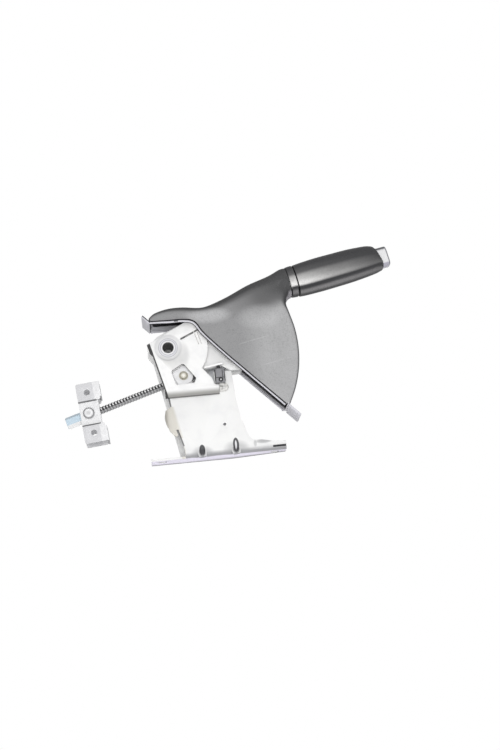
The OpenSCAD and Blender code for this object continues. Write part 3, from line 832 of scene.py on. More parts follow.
@dataclass(frozen=True)
class CoverPlastic(Moulded):
    """Cover of the lever with painted shade and light: pale on its flat sides, dark over its crown
    and towards the neck.
    """

    # Painted shade on the crown and the neck, painted light towards the front and on the throat;
    # the glow colour paints highlights and the flow lines
    crown: Colour = (0.045, 0.045, 0.047)
    neck: Colour = (0.07, 0.07, 0.072)
    front: Colour = (0.45, 0.45, 0.455)
    throat: Colour = (0.55, 0.53, 0.57)
    glow: Colour = (0.7, 0.7, 0.71)
    # Run of X over which the side turns paler towards the front: painted light
    front_x: Pair = (76.0, 110.0)
    # Distances from the centre plane over which the neck's painted shade turns to the shade colour,
    # and that to the side
    neck_out: Pair = (17.2, 20.4)
    side_out: Pair = (19.4, 21.4)
    # Painted highlights, soft pale places: X, Z, half width, half height, softness and strength
    glows: tuple[tuple[float, ...], ...] = (
        (46, 153.0, 22, 8, 0.95, 0.5), (104, 147, 22, 12, 0.95, 0.3))
    # Flow lines on the side: X and Z of both ends
    lines: tuple[tuple[float, ...], ...] = (
        (74.8, 116.8, 112.3, 125.1), (98.5, 91.4, 134.4, 98.4))
    # Fading of a line across it, along it as shares of its length, and towards the centre plane
    line_off: Pair = (0.25, 0.9)
    line_run: Pair = (0.3, 0.55)
    line_out: Pair = (21.0, 22.0)
    line_strength: float = 0.22
    # Direction that the throat faces, and the leans over which its painted light and the crown's
    # painted shade blend in
    throat_way: Way = (0.55, 0, -0.835)
    throat_lean: Pair = (0.62, 0.92)
    pale_lean: Pair = (0.5, 1.0)
    dark_lean: Pair = (0.45, 1.0)
    patch_size: float = 3.0

    def lined(self, graph: Graph, side: Wire, out: Wire) -> Wire:
        """Lay the flow lines over the side's colour.

        Args:
            graph: Tree of the material.
            side: Colour of the side.
            out: Distance from the centre plane.

        Returns:
            The colour with the lines over it.
        """
        for x0, z0, x1, z1 in self.lines:
            root, way = flat(x0, z0), flat(x1 - x0, z1 - z0)
            length = way.length
            way.normalize()
            off = abs(graph.along(root, (-way.z, 0, way.x)))
            run = abs(graph.along(root, way) - length / 2)
            ends = run.fade(*(length * share for share in self.line_run))
            mark = (1 - off.fade(*self.line_off)) * (1 - ends) * out.fade(*self.line_out)
            side = graph.tint(mark * self.line_strength, side, self.glow)
        return side

    def ground(self, graph: Graph) -> tuple[Any, Any]:
        """Paint shade and light by the distance from the centre plane and by the way that the
        surface faces.

        Args:
            graph: Tree of the material.

        Returns:
            The light and the dark colour.
        """
        out = abs(graph.axis("Y"))
        level = graph.tint(graph.axis("X").fade(*self.front_x), self.colour, self.front)
        inner = graph.tint(out.fade(*self.neck_out), self.neck, self.shade)
        side = graph.tint(out.fade(*self.side_out), inner, level)
        side = layered(graph, side, [Oval(self.glow, *row) for row in self.glows])
        side = self.lined(graph, side, out)
        turned = abs(graph.lean(FAR))
        pale = graph.tint(turned.fade(*self.pale_lean), self.crown, side)
        under = graph.lean(self.throat_way).fade(*self.throat_lean)
        patchy = graph.tint(graph.noise(self.patch_size), side, self.shade)
        return (graph.tint(under, pale, self.throat),
                graph.tint(turned.fade(*self.dark_lean), self.crown, patchy))


@dataclass(frozen=True)
class BandedPlastic(Moulded):
    """Plain plastic with bands of other tones, for the cover's inside and its lit edge."""

    bands: tuple[Band, ...] = ()

    def ground(self, graph: Graph) -> tuple[Any, Any]:
        """Lay the bands over the colour."""
        inner = layered(graph, self.colour, self.bands)
        return inner, inner


@dataclass(frozen=True)
class GripSkin(Moulded):
    """Soft grip with painted shade and light: dark crown, a painted sheen along its side and a
    paler belly under the crease.
    """

    root: Vector = field(default_factory=ORIGIN.copy)
    way: Vector = field(default_factory=lambda: Vector(FORE))
    # Colours of the painted sheen and of the belly's painted light
    sheen: Colour = (0.92, 0.91, 0.9)
    belly: Colour = (0.25, 0.245, 0.25)
    # Leans over which a painted tone rises and falls: the sheen, its faint spread upwards, and the
    # belly
    sheen_lean: tuple[float, ...] = (-0.38, -0.2, -0.18, 0.16)
    spread_lean: tuple[float, ...] = (-0.3, 0.0, 0.0, 0.7)
    belly_lean: tuple[float, ...] = (-0.995, -0.9, -0.87, -0.78)
    spread: float = 0.1
    # Runs along the grip over which a painted tone loses a share of itself
    sheen_loss: tuple[tuple[float, ...], ...] = ((0, 60, 0.62), (50, 105, 0.28))
    belly_loss: tuple[tuple[float, ...], ...] = ((40, 130, 0.4),)
    # Leans over which the ends turn to the shade colour: painted shade
    end_lean: Pair = (0.6, 0.85)
    patch_size: float = 2.5
    patchy: float = 0.6

    def left(self, graph: Graph, losses: Sequence[Sequence[float]]) -> Any:
        """Share of a tone that is left along the grip.

        Args:
            graph: Tree of the material.
            losses: Start, end and loss of each run.

        Returns:
            The share, from 0 to 1.
        """
        share: Any = 1
        for start, end, loss in losses:
            share = share - graph.along(self.root, self.way).fade(start, end) * loss
        return share

    def ground(self, graph: Graph) -> tuple[Any, Any]:
        """Paint shade and light by the way that the surface faces and by the place along the grip.

        Args:
            graph: Tree of the material.

        Returns:
            The light and the dark colour.
        """
        rise = graph.lean((-self.way.z, 0, self.way.x))
        sheen = rise.hump(*self.sheen_lean) + rise.hump(*self.spread_lean) * self.spread
        skin = graph.tint(sheen * self.left(graph, self.sheen_loss), self.colour, self.sheen)
        belly = rise.hump(*self.belly_lean) * self.left(graph, self.belly_loss)
        skin = graph.tint(belly, skin, self.belly)
        skin = graph.tint(abs(graph.lean(self.way)).fade(*self.end_lean), skin, self.shade)
        return skin, graph.tint(graph.noise(self.patch_size) * self.patchy, skin, self.shade)


@dataclass(frozen=True)
class ThreadBlack(Finish):
    """Blackened thread with painted glints on its crests, painted shade along its top and a painted
    reflection on its lower half.
    """

    root: Vector
    way: Vector
    # Colours of the painted glints and of the painted reflection below the side line
    crest: Colour = (0.95, 0.95, 0.95)
    under: Colour = (0.5, 0.5, 0.51)
    # Distances from the axis between which the crests take their painted glint
    bright: Pair = (3.6, 3.9)
    # Heights over the axis: a dark line along the side, and the dark top, both painted shade
    line: tuple[float, ...] = (-1.2, -0.7, -0.2, 0.1)
    top: Pair = (2.4, 2.9)
    # Size of the noise that varies the painted glints
    glint_flicker_size: float = 1.4

    def paint(self, graph: Graph) -> None:
        """Paint glints by the distance from the rod's axis, and shade and a reflection by the
        height over it.

        Args:
            graph: Tree of the material.
        """
        cross = graph.vector("CROSS_PRODUCT", graph.away(self.root), tuple(self.way))
        reach = graph.vector("LENGTH", cross, output="Value")
        glint_flicker = graph.noise(self.glint_flicker_size).fade(0.2, 0.6)
        rise = graph.along(self.root, (self.way.z, 0, -self.way.x))
        low = rise.fade(*self.line[:2])
        crest_glint = reach.fade(*(value * MM for value in self.bright))
        crest_glint = crest_glint * (1 - rise.fade(*self.top)) * (1 - rise.hump(*self.line))
        thread = graph.tint(crest_glint * (0.6 + glint_flicker * 0.4), self.colour, self.crest)
        # Paler below the side line: a painted reflection of the floor
        below = graph.tint(crest_glint * 0.5 + 0.45, self.colour, self.under)
        graph.surface(
            Base_Color=graph.tint(low, below, thread),
            Roughness=0.5 - crest_glint * 0.15,
            Metallic=crest_glint * 0.6,
        )


# Platings: name, colour, clouds, their strength and size, metallic, roughness and tones
PRESSING = Plated(
    "pressing_plate", (0.86, 0.86, 0.855), (0.70, 0.70, 0.71), 0.45, 14.0, 0.25, 0.45)
# A lighter copy of the pressing for the lever cheeks and the far plate: painted light where the
# cover and plates shade them
CHEEK = replace(PRESSING, name="cheek_plate", colour=(0.97, 0.97, 0.965),
                cloud=(0.86, 0.86, 0.87), metallic=0.1)
ZINC = Plated("zinc_plate", (0.70, 0.71, 0.73), (0.52, 0.53, 0.55), 0.5, 8.0, 0.6, 0.4)
BRIGHT = Plated("bright_plate", (0.84, 0.84, 0.85), (0.66, 0.66, 0.68), 0.5, 6.0, 0.25, 0.4)
# Blue zinc with painted light on faces turned down towards the near side and painted shade on faces
# straight down
BLUE = Plated("blue_zinc", (0.56, 0.68, 0.77), (0.46, 0.58, 0.68), 0.4, 5.0, 0.25, 0.38, (
    Facing((0.9, 0.9, 0.9), (0, -0.5, -0.85), 0.82, 0.95),
    Facing((0.3, 0.3, 0.33), DOWN, 0.9, 0.99)))
CLIP = Plated("clip_plate", (0.74, 0.73, 0.71), (0.2, 0.2, 0.19), 0.8, 2.2, 0.4, 0.42)
BRONZE = Plated("bush_bronze", (0.45, 0.35, 0.18), (0.25, 0.19, 0.1), 0.5, 3.0, 0.8, 0.4)
# Plastics: name, colour, shade, roughness, size and depth of the grain, specular and speckle
SHROUD = CoverPlastic(
    "shroud_plastic", (0.33, 0.33, 0.335), (0.16, 0.16, 0.162), 0.6, 0.6, 0.05, 0.2, 0.5)
# The lit edge is a paler copy of the cover's plastic, painted light on its bead and lips; its band
# darkens a small part of the bead at the rear
LIT_EDGE = BandedPlastic(
    "shroud_lit_edge", (0.67, 0.665, 0.71), (0.55, 0.55, 0.59), 0.5, 1.6, 0.03, 0.3, 0.3, bands=(
        Band((0.06, 0.06, 0.06), ORIGIN, FORE, 9.2, 13.4, 0.4, 0.9,
             limit(UP, 148.7, 150.4, 0.3)),))
# Near black for the strip of painted shadow in the rim's groove and for the cover's inside: painted
# shade
PAINTED_DARK = ((0.02, 0.02, 0.02), 0.7, 0.5, 0.03, 0.15)
SHADOW_STRIP = Moulded("shroud_shadow_strip", (0.03, 0.03, 0.032), *PAINTED_DARK)
LINER = BandedPlastic("shroud_liner", (0.025, 0.025, 0.027), *PAINTED_DARK)
SWITCH = Moulded(
    "switch_plastic", (0.30, 0.30, 0.315), (0.18, 0.18, 0.19), 0.5, 0.5, 0.03, 0.3)
DARK = Moulded(
    "plunger_black", (0.035, 0.035, 0.038), (0.02, 0.02, 0.02), 0.5, 0.5, 0.03, 0.35)
NYLON = Moulded("nylon", (0.62, 0.59, 0.48), (0.5, 0.47, 0.38), 0.5, 0.8, 0.03, 0.3)


def dress(piece: Piece, finish: Finish, body: Body, slot: Slot, *nodes: str,
          inside: Finish | None = None) -> Piece:
    """Give a piece its finish and its body, and hide the CAD nodes that it stands for.

    Args:
        piece: Finished piece.
        finish: Finish of its surface.
        body: Body that it rides on.
        slot: Slot of the record that its finish belongs to; not used.
        nodes: CAD nodes that it replaces.
        inside: Finish of its inner faces, which carry the second material number.

    Returns:
        The piece.
    """
    while len(piece.data.materials) < (2 if inside else 1):
        piece.data.materials.append(None)
    piece.data.materials[0] = finish.material()
    if inside:
        piece.data.materials[1] = inside.material()
    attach(piece, body.value)
    if nodes:
        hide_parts(*nodes)
    log.info("%s on %s: %d faces", piece.name, body.value, len(piece.data.polygons))
    return piece


def repaint(finish: Finish, *nodes: str) -> None:
    """Give CAD nodes that stay a finish.

    Args:
        finish: Finish of the nodes.
        nodes: CAD nodes that keep their shape.
    """
    for node in nodes:
        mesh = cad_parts[node].data
        mesh.materials.clear()
        mesh.materials.append(finish.material())
        log.info("%s keeps its CAD shape", node)


@dataclass(frozen=True)
class Layout:
    """Places that the assemblies share, in millimetres and degrees."""

    pivot: Vector = field(default_factory=lambda: middle("pivot_tube"))
    grip_out: float = 140.0
    grip_rise: float = 67.6
    grip_angle: float = 10.4
    clevis_r: float = 33.7
    clevis_angle: float = -65.5
    rod_angle: float = 16.7
    rod_l: float = 109.5

    def at(self, spot: Pair) -> Vector:
        """Point on the centre plane, measured from the pivot."""
        return self.pivot + flat(*spot)

    def clevis_at(self) -> Vector:
        """Axis of the clevis pin on the centre plane."""
        return self.pivot + self.clevis_r * heading(self.clevis_angle)[0]

    def along_grip(self) -> Matrix:
        """Frame with X along the grip."""
        root = self.at((self.grip_out, self.grip_rise))
        return Matrix.Translation(root) @ Matrix.Rotation(-math.radians(self.grip_angle), 4, "Y")

    def along_rod(self) -> Matrix:
        """Frame with X along the pull rod, away from the clevis pin."""
        turn = math.radians(180 - self.rod_angle)
        return Matrix.Translation(self.clevis_at()) @ Matrix.Rotation(turn, 4, "Y")

    def trunnion_at(self) -> Vector:
        """Axis of the trunnion on the centre plane."""
        return self.along_rod() @ Vector((self.rod_l, 0, 0))

    @staticmethod
    def ahead(frame_x: Matrix) -> Vector:
        """Direction of a frame's X."""
        return (frame_x @ Vector(FORE) - frame_x.translation).normalized()

    @staticmethod
    def facing(spot: Vector, near: bool = True) -> Matrix:
        """Frame with Z pointing out of the near or the far side at a spot."""
        turn = math.pi / 2 if near else -math.pi / 2
        return Matrix.Translation(spot) @ Matrix.Rotation(turn, 4, "X")


@dataclass
class BracketAssembly:
    """Mounting bracket with side plates, ratchet, pivot rivet and warning switch."""

    layout: Layout
    sheet_rounding: float = 0.55
    face_y: float = 19.9
    bore_r: float = 5.8
    flare_r: float = 10.6
    flare_t: float = 1.2
    ring_r: float = 7.9
    rivet_sides: int = 72
    plate_y: float = 19.0
    # Hairpin spring: both ends of its first leg, step to the second, wire and its stand-off
    leg: tuple[Pair, Pair] = ((29.3, 137.5), (33.6, 122.1))
    leg_gap: float = 3.2
    leg_r: float = 0.5
    leg_off: float = 0.3
    leg_sides: int = 20
    # Low and high corners of the dark block in the slot at the front foot, which paints the slot's
    # shadow
    slot_shadow: tuple[Way, Way] = ((102.9, -11.6, 3.2), (116.8, -8.4, 4.8))
    slot_shadow_rounding: float = 0.3
    case_rounding: float = 0.45
    panel_rounding: float = 0.4
    seam_rounding: float = 0.2
    clip_rounding: float = 0.5
    # Switch eye: offset from the middle and height over the lower end
    eye_at: Pair = (0.6, 3.0)
    eye_sides: int = 40
    stud_sides: int = 32
    # Places of the pressed darts, and of the tab's heel
    dart_x: Pair = (26.3, 62.9)
    heel: Pair = (1.5, 32.4)

    def build(self) -> None:
        """Model and dress all the pieces."""
        for node, finish, slot in (
            ("mounting_bracket", self.bracket_finish(), Slot.PRESSING),
            ("near_side_plate", self.near_finish(), Slot.PRESSING),
            ("far_side_plate", CHEEK, Slot.PRESSING),
            ("ratchet_plate", ZINC, Slot.ZINC),
        ):
            piece = Bench.from_cad(node, "dressed_" + node, self.sheet_rounding)
            dress(piece, finish, Body.BRACKET, slot, node)
        self.rivet()
        self.plug()
        # Dark block in the slot: painted shadow
        slot_shadow = Bench.block("foot_slot_shadow", *self.slot_shadow, self.slot_shadow_rounding)
        dress(slot_shadow, DARK, Body.BRACKET, Slot.PLUNGER)
        self.spring_legs()
        self.switch()
        repaint(DARK, "pivot_spacers", "switch_plunger")

    def bracket_finish(self) -> Plated:
        """Plating of the bracket with painted light and shade: grey in its bend, dark in its darts
        and slots.

        Returns:
            The finish.
        """
        grey, dark, buff = (0.36, 0.36, 0.37), (0.085, 0.085, 0.09), (0.66, 0.63, 0.56)
        rear, front = self.dart_x
        heel = flat(*self.heel)
        tones = (
            # Painted shade in the bend and on the rear edges, and painted light on the underside
            Facing(grey, DOWN, 0.2, 0.8),
            Facing((0.8, 0.78, 0.85), DOWN, 0.93, 0.985),
            Facing(dark, BACK, 0.55, 0.9),
            # Painted buff light on the curled tab and at the rear of the base
            Band(buff, heel, (-0.98, 0, -0.197), -1.0, 30, 4.0, 0.8, limit(UP, 22, 56.5, 0.8)),
            Oval(buff, 6.1, 6.0, 2.4, 7, 0.5, 0.7),
            # Painted shade round the darts
            Oval(grey, rear, 3.6, 10, 6.5, 0.9, 0.55),
            Oval(grey, front, 4.6, 12, 8, 0.9, 0.55),
            # Painted dark lines along the rear edges of the wall
            Band(dark, flat(-5, 72), (0.994, 0, 0.108), -1, 1.1, 0.3, 0.9, limit(UP, 57, 80, 0.5)),
            Band(dark, heel, (0.966, 0, 0.257), -1, 1.1, 0.3, 0.9, limit(UP, 13, 31, 0.5)),
            # Painted shade along the far edge of the base, straight and then tapered
            Band(dark, ORIGIN, FAR, 17.4, 24, 0.5, 0.8, limit(FORE, -40, 61, 1.0)),
            Band(dark, Vector((62, 21, 0)), (0.238, 0.971, 0), -3.4, 4, 0.5, 0.8,
                 limit(FORE, 62, 130, 1.0)),
            # Painted shade in the darts, with painted light on the floor of the front one
            Oval(dark, rear, 7.2, 3.1, 5.4, 0.15),
            Oval(dark, front, 9.4, 3.2, 7.4, 0.15),
            Oval((0.8, 0.8, 0.82), 62.8, 9.6, 1.0, 4.4, 0.4),
            # Painted shade towards the front foot, and in the slot in the foot
            Oval(grey, 93, 10.4, 8, 2.2, 0.9, 0.7),
            Oval(grey, 83.5, 8.6, 1.6, 3.4, 0.9, 0.5),
            Band(dark, ORIGIN, FAR, 1.0, 2.2, 0.3, 0.8, limit(FORE, 103, 113, 1.0)),
            Band(dark, ORIGIN, UP, 3.0, 5.0, 0.15, 0.9, limit(FORE, 102.5, 130, 0.3)),
        )
        return replace(PRESSING, name="bracket_plate", colour=(0.88, 0.88, 0.875),
                       cloud=(0.8, 0.8, 0.81), tones=tones)

    def near_finish(self) -> Plated:
        """Plating of the near plate with painted shade: dark edges, a grey roll and a soft ring
        round the boss.

        Returns:
            The finish.
        """
        edge, at = (0.13, 0.13, 0.13), self.layout.pivot
        tones = (
            # Painted shade on the roll with its dark line, and along the plate's rear edge
            Facing((0.34, 0.335, 0.32), DOWN, 0.0, 0.6),
            Facing((0.1, 0.1, 0.1), DOWN, 0.62, 0.78),
            Band((0.05, 0.05, 0.05), flat(-17, 112.5), (0.971, 0, 0.24), -2, 1.25, 0.25),
            # Painted shade on the sheared edges, the front one only near the clevis
            Facing(edge, FORE, within=Ring(edge, self.layout.clevis_at(), -1, 20)),
            Facing(edge, BACK),
            Facing(edge, UP),
            # Painted shade round the boss and beside it
            Ring((0.6, 0.6, 0.62), at, 11.4, 14.0, 2.2, 0.45),
            Oval((0.5, 0.5, 0.5), at.x + 16, at.z - 8, 6, 11, 0.9, 0.4),
        )
        return replace(PRESSING, name="near_plate", colour=(0.95, 0.95, 0.945),
                       cloud=(0.8, 0.8, 0.81), tones=tones)

    def rivet(self) -> None:
        """Turn the hollow pivot rivet with its rolled rims."""
        y, t, at = self.face_y, self.flare_t, self.layout.pivot
        bore, rim, flare = self.bore_r, self.ring_r, self.flare_r
        half = [
            (0.0, bore), (y + 0.2, bore), (y + t - 0.1, bore + 0.5), (y + t, bore + 1.1),
            (y + t - 0.15, rim - 0.3), (y + 0.55, rim + 0.2), (y + 0.5, rim + 0.6),
            (y + 0.7, flare - 1.2), (y + 0.45, flare - 0.3), (y - 0.05, flare),
            (y - 0.1, rim - 0.2),
        ]
        profile = half + [(-h, r) for h, r in reversed(half)]
        piece = Bench.turn("pivot_rivet", profile, Layout.facing(at), self.rivet_sides)
        # Painted shade: dark in the bore, grey-lavender over the rolled rim, with dark lines at its
        # edges
        line = (0.42, 0.42, 0.44)
        finish = replace(BRIGHT, name="rivet_plate", tones=(
            Ring((0.16, 0.16, 0.16), at, -1.0, bore + 0.1),
            Ring((0.62, 0.62, 0.67), at, 8.0, 11.5, 0.5, 0.6),
            Ring(line, at, 8.0, 8.5, 0.35, 0.6),
            Ring(line, at, flare - 0.4, flare, 0.5, 0.8)))
        dress(piece, finish, Body.BRACKET, Slot.BRIGHT, "pivot_tube")

    def plug(self) -> None:
        """Grey plug deep in the pivot rivet, standing in for the shade inside the bore: painted
        shade.
        """
        r = self.bore_r - 0.05
        profile = [(-14, 0.2), (-14, r - 0.8), (-13.2, r), (-8.8, r), (-8, r - 0.8),
                   (-8, 2.2), (-8.6, 1.6), (-8.6, 0.2)]
        piece = Bench.turn("bore_shade_plug", profile, Layout.facing(self.layout.pivot))
        finish = replace(DARK, name="plug_grey", colour=(0.6, 0.6, 0.6), shade=(0.45, 0.45, 0.45))
        dress(piece, finish, Body.BRACKET, Slot.PLUNGER)

    def spring_legs(self) -> None:
        """Two legs of a hairpin spring that lie against the near plate."""
        legs, r = [], self.leg_r
        for i, step in enumerate((0.0, self.leg_gap)):
            start, end = (Vector((x + step, -self.plate_y - self.leg_off, z)) for x, z in self.leg)
            way = (end - start).to_track_quat("Z", "Y").to_matrix().to_4x4()
            length = (end - start).length
            profile = [(0, 0.1), (0, r), (length - 0.3, r), (length, r * 0.6), (length, 0.1)]
            stand = Matrix.Translation(start) @ way
            legs.append(Bench.turn(f"leg{i}", profile, stand, self.leg_sides))
        dress(Bench.join("hairpin_spring", legs), CLIP, Body.BRACKET, Slot.CLIP)

    def switch(self) -> None:
        """Round the switch and its clip, and add the panel, the seams and the eye on its face."""
        low, high = (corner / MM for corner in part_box("switch_body"))
        body = Bench.from_cad("switch_body", "switch_case", self.case_rounding)
        panel = Bench.block("panel", (low.x + 1.3, low.y - 0.5, low.z + 6),
                            (high.x - 3.6, low.y + 0.4, high.z - 2.6), self.panel_rounding)
        case = Bench.join("switch_case", [body, panel])
        dress(case, SWITCH, Body.BRACKET, Slot.SWITCH, "switch_body")
        corners = (
            ((low.x - 0.1, low.y - 0.2, low.z + 0.6), (low.x + 0.8, low.y + 3, high.z - 1.4)),
            ((high.x - 2.9, low.y - 0.3, low.z + 5), (high.x - 2.2, low.y + 0.4, high.z - 1.6)),
            ((high.x - 0.7, low.y - 0.2, low.z + 1), (high.x + 0.1, low.y + 3, high.z - 1.4)),
            ((low.x + 0.4, low.y - 0.3, low.z + 4.9), (high.x - 0.4, low.y + 0.4, low.z + 5.5)),
        )
        seams = [Bench.block(f"seam{i}", start, end, self.seam_rounding)
                 for i, (start, end) in enumerate(corners)]
        dress(Bench.join("switch_seams", seams), DARK, Body.BRACKET, Slot.PLUNGER)
        aside, rise = self.eye_at
        eye = Layout.facing(Vector(((low.x + high.x) / 2 + aside, low.y, low.z + rise)))
        rim = [(-1.6, 1.1), (0.5, 1.1), (0.75, 1.35), (0.75, 2.2), (0.4, 2.5), (-0.2, 2.6),
               (-0.2, 2.0), (-1.6, 2.0), (-1.6, 1.1)]
        piece = Bench.turn("switch_eye", rim, eye, self.eye_sides)
        dress(piece, DARK, Body.BRACKET, Slot.PLUNGER)
        stud = [(-1.5, 1.0), (-0.2, 1.0), (0.1, 0.8), (0.2, 0.3)]
        piece = Bench.turn("switch_stud", stud, eye, self.stud_sides)
        dress(piece, BRIGHT, Body.BRACKET, Slot.BRIGHT)
        clip = Bench.from_cad("switch_clip", "switch_spring_clip", self.clip_rounding)
        dress(clip, CLIP, Body.BRACKET, Slot.CLIP, "switch_clip")


@dataclass
class Shroud:
    """Thin moulded cover from the rear lip over the lever to the grip's collar."""

    layout: Layout
    half_width: float = 22.99
    wall: float = 2.5
    # Wall of the strip of painted shadow in the rim's groove
    shadow_wall: float = 0.8
    # Steps over half the arch, between stations and down a side
    arch: int = 8
    steps: int = 5
    columns: int = 16
    rim: float = 3.8
    rim_front: float = 3.2
    neck_h: float = 16.4
    fan_at: Pair = (9.5, -10.0)
    fan_r: float = 132.5
    fan_from: float = 17.0
    fan_to: float = -29.0
    fan_rows: int = 6
    # Shoulder radius and half width at both ends of the fan
    fan_shoulder: Pair = (5.0, 3.0)
    fan_wide: Pair = (22.0, 22.6)
    edge_from: Pair = (38.4, 14.7)
    edge_to: Pair = (124.2, -75.8)
    # Stations of the top: start of the slant, end of the rear panel and start of the neck
    slant_from: float = 3.5
    matched: int = 7
    gate: int = 8
    # Stations over which the rim changes its height
    rim_run: float = 2.0
    # Shares of the rim's height with the depth below its face: a groove holding a dark strip of
    # painted shadow, then a bead
    rim_profile: tuple[Pair, ...] = (
        (0.96, 0.9), (0.8, 1.0), (0.58, 1.0), (0.52, 0.3), (0.44, 0.05), (0.35, 0.0),
        (0.13, 0.05), (0.03, 0.3), (0.0, 0.7))
    # Most of a side's height that the rim may take
    rim_most: float = 0.8
    # Rows of the strip of painted shadow
    shadow_rows: int = 2
    # Ends of the lower edge's shares at the panel's corners
    share_at: tuple[float, ...] = (0.37, 0.45, 0.55, 0.97)
    # Points along the lower edge that set the width, and how far they lie inside it
    hem_steps: int = 50
    hem_in: float = 0.25
    # How far the near lower edge hangs below the far one, at the rear and along the slant
    sag_rear: Pair = (0.0, -2.2)
    sag_front: Pair = (-2.7, -2.6)
    # Lips: thickness, dark skin of painted shadow on the rear lip, inset from the sides, edges,
    # place, direction, run and sag
    lip_t: float = 2.5
    lip_skin: float = 1.0
    lip_in: float = 0.3
    lip_rounding: float = 0.8
    lip_rear_at: Pair = (-18.2, 30.8)
    lip_rear_angle: float = 134.0
    lip_rear: Pair = (-1.2, 10.0)
    lip_rear_sag: Pair = (0.0, -0.8)
    lip_front_at: Pair = (125.4, -74.6)
    lip_front: Pair = (-0.5, 16.2)
    # Edges sharper than this stay crisp
    crisp: float = 40

    def on_edge(self, share: float) -> tuple[float, float]:
        """Point of the straight lower edge."""
        return tuple(mix(a, b, share) for a, b in zip(self.edge_from, self.edge_to))

    def on_neck(self, along: float, off: float) -> tuple[float, float]:
        """Point beside the grip's axis, measured from the pivot.

        Args:
            along: Distance along the axis from the grip's root.
            off: Distance above the axis.

        Returns:
            X and Z of the point.
        """
        turn = math.radians(self.layout.grip_angle)
        c, s = math.cos(turn), math.sin(turn)
        return (self.layout.grip_out + along * c - off * s,
                self.layout.grip_rise + along * s + off * c)

    def top_rows(self) -> list[tuple[float, ...]]:
        """Stations of the top: crown, lower edge, shoulder radius and half width.

        Returns:
            The stations from the rear lip to the neck.
        """
        edge, neck, h = self.on_edge, self.on_neck, self.neck_h
        return [
            (-18, 34.8, -18, 30, 3.4, 22.4),
            (-11, 41.3, -11, 29.9, 8, 22.3),
            (4, 46, 4, 29.2, 11, 22),
            (20, 46.6, 18, 29.1, 12, 21.8),
            (38, 44.6, 29.3, 26.3, 12, 21.5),
            (50, 47, *edge(0), 13, 21),
            (70, 55, *edge(0.16), 14, 20.5),
            (94, 66.8, *edge(0.37), 14.5, 19.5),
            (118, 75.8, *edge(0.5), 15, 18.2),
            (*neck(-6, h - 0.2), *edge(0.6), 14.5, 17),
            (*neck(0, h), *edge(0.7), 14, h + 0.3),
        ]

    def front_rows(self) -> list[tuple[float, ...]]:
        """Stations of the front: crown, shoulder radius and half width.

        Returns:
            The stations from the neck down to the front lip.
        """
        h = self.neck_h
        rows = [
            (*self.on_neck(0, -h), 14, h + 0.3),
            (*self.on_neck(-3, -h - 0.5), 12, 17),
            (138.2, 49, 9, 17.8),
            (135, 43.8, 7, 19.4),
            (134.3, 38, 6, 20.8),
        ]
        for i in range(self.fan_rows + 1):
            t = i / self.fan_rows
            turn = math.radians(mix(self.fan_from, self.fan_to, t))
            x = self.fan_at[0] + self.fan_r * math.cos(turn)
            z = self.fan_at[1] + self.fan_r * math.sin(turn)
            rows.append((x, z, mix(*self.fan_shoulder, t), mix(*self.fan_wide, t)))
        return rows

    def sections(self, rows: Sequence[Sequence[float]], mouth: int, way: Vector) -> Grid:
        """Arched sections along a run of stations.

        Args:
            rows: Crown X and Z, then at the row's end shoulder radius and half width.
            mouth: Number of the station at the neck's mouth.
            way: Inward direction there.

        Returns:
            Rows of points from the near shoulder over the crown to the far one.
        """
        result = []
        for i, row in enumerate(rows):
            after, before = rows[min(i + 1, len(rows) - 1)], rows[max(i - 1, 0)]
            path = flat(after[0] - before[0], after[1] - before[1]).normalized()
            inward = way if i == mouth else flat(path.z, -path.x)
            crown, r, wide = self.layout.at(row[:2]), row[-2], row[-1]
            half = []
            for step in range(self.arch + 1):
                turn = math.pi / 2 * step / self.arch
                half.append(crown + inward * r * (1 - math.sin(turn))
                            - Vector((0, wide - r + r * math.cos(turn), 0)))
            result.append([*half, crown, *(mirrored(p) for p in reversed(half))])
        return result

    def hem(self, top: Sequence[Sequence[float]], tops: Grid, fronts: Grid) -> list[Vector]:
        """Points round the near side that set its width.

        Args:
            top: Stations along the top.
            tops: Sections along the top.
            fronts: Sections along the front.

        Returns:
            Points of the shoulders and of the lower edge.
        """
        first, last = self.share_at[0], self.share_at[-1]
        feet = [row[2:4] for row in top[:self.matched * self.steps + 1]]
        feet += [self.on_edge(mix(first, last, i / self.hem_steps))
                 for i in range(1, self.hem_steps + 1)]
        low = [self.layout.pivot + Vector((x, -self.half_width + self.hem_in, z)) for x, z in feet]
        return [row[0] for row in tops] + [row[0] for row in fronts] + low

    @staticmethod
    def width_at(spot: Vector, hem: Sequence[Vector], blur: float = 0.02) -> float:
        """Half width of the side at a spot, blended from the points round it.

        Args:
            spot: Point of the side.
            hem: Points that set the width.
            blur: How much the pull of the nearest points is softened.

        Returns:
            The half width.
        """
        total = weight = 0.0
        for p in hem:
            near = ((p.x - spot.x) ** 2 + (p.z - spot.z) ** 2 + blur) ** -1.5
            total, weight = total - near * p.y, weight + near
        return total / weight

    def drop(self, shoulder: Vector, foot: Pair, rim: float, hem: Sequence[Vector]) -> list[Vector]:
        """Points down the near side from a shoulder to the lower edge, with the groove and bead.

        Args:
            shoulder: Point of the arch where the side starts.
            foot: Point of the lower edge, measured from the pivot.
            rim: Height of the rim.
            hem: Points that set the width of the side.

        Returns:
            The points from the shoulder down.
        """
        low = self.layout.at(foot)
        run = flat(low.x - shoulder.x, low.z - shoulder.z)
        rim = min(rim, self.rim_most * run.length) / run.length
        points = [shoulder]
        for step in range(1, self.columns + 1):
            spot = shoulder + run * step / self.columns * (1 - rim)
            points.append(Vector((spot.x, -self.width_at(spot, hem), spot.z)))
        for up, depth in self.rim_profile:
            spot = shoulder + run * (1 - rim * up)
            points.append(Vector((spot.x, -self.half_width + depth, spot.z)))
        return points

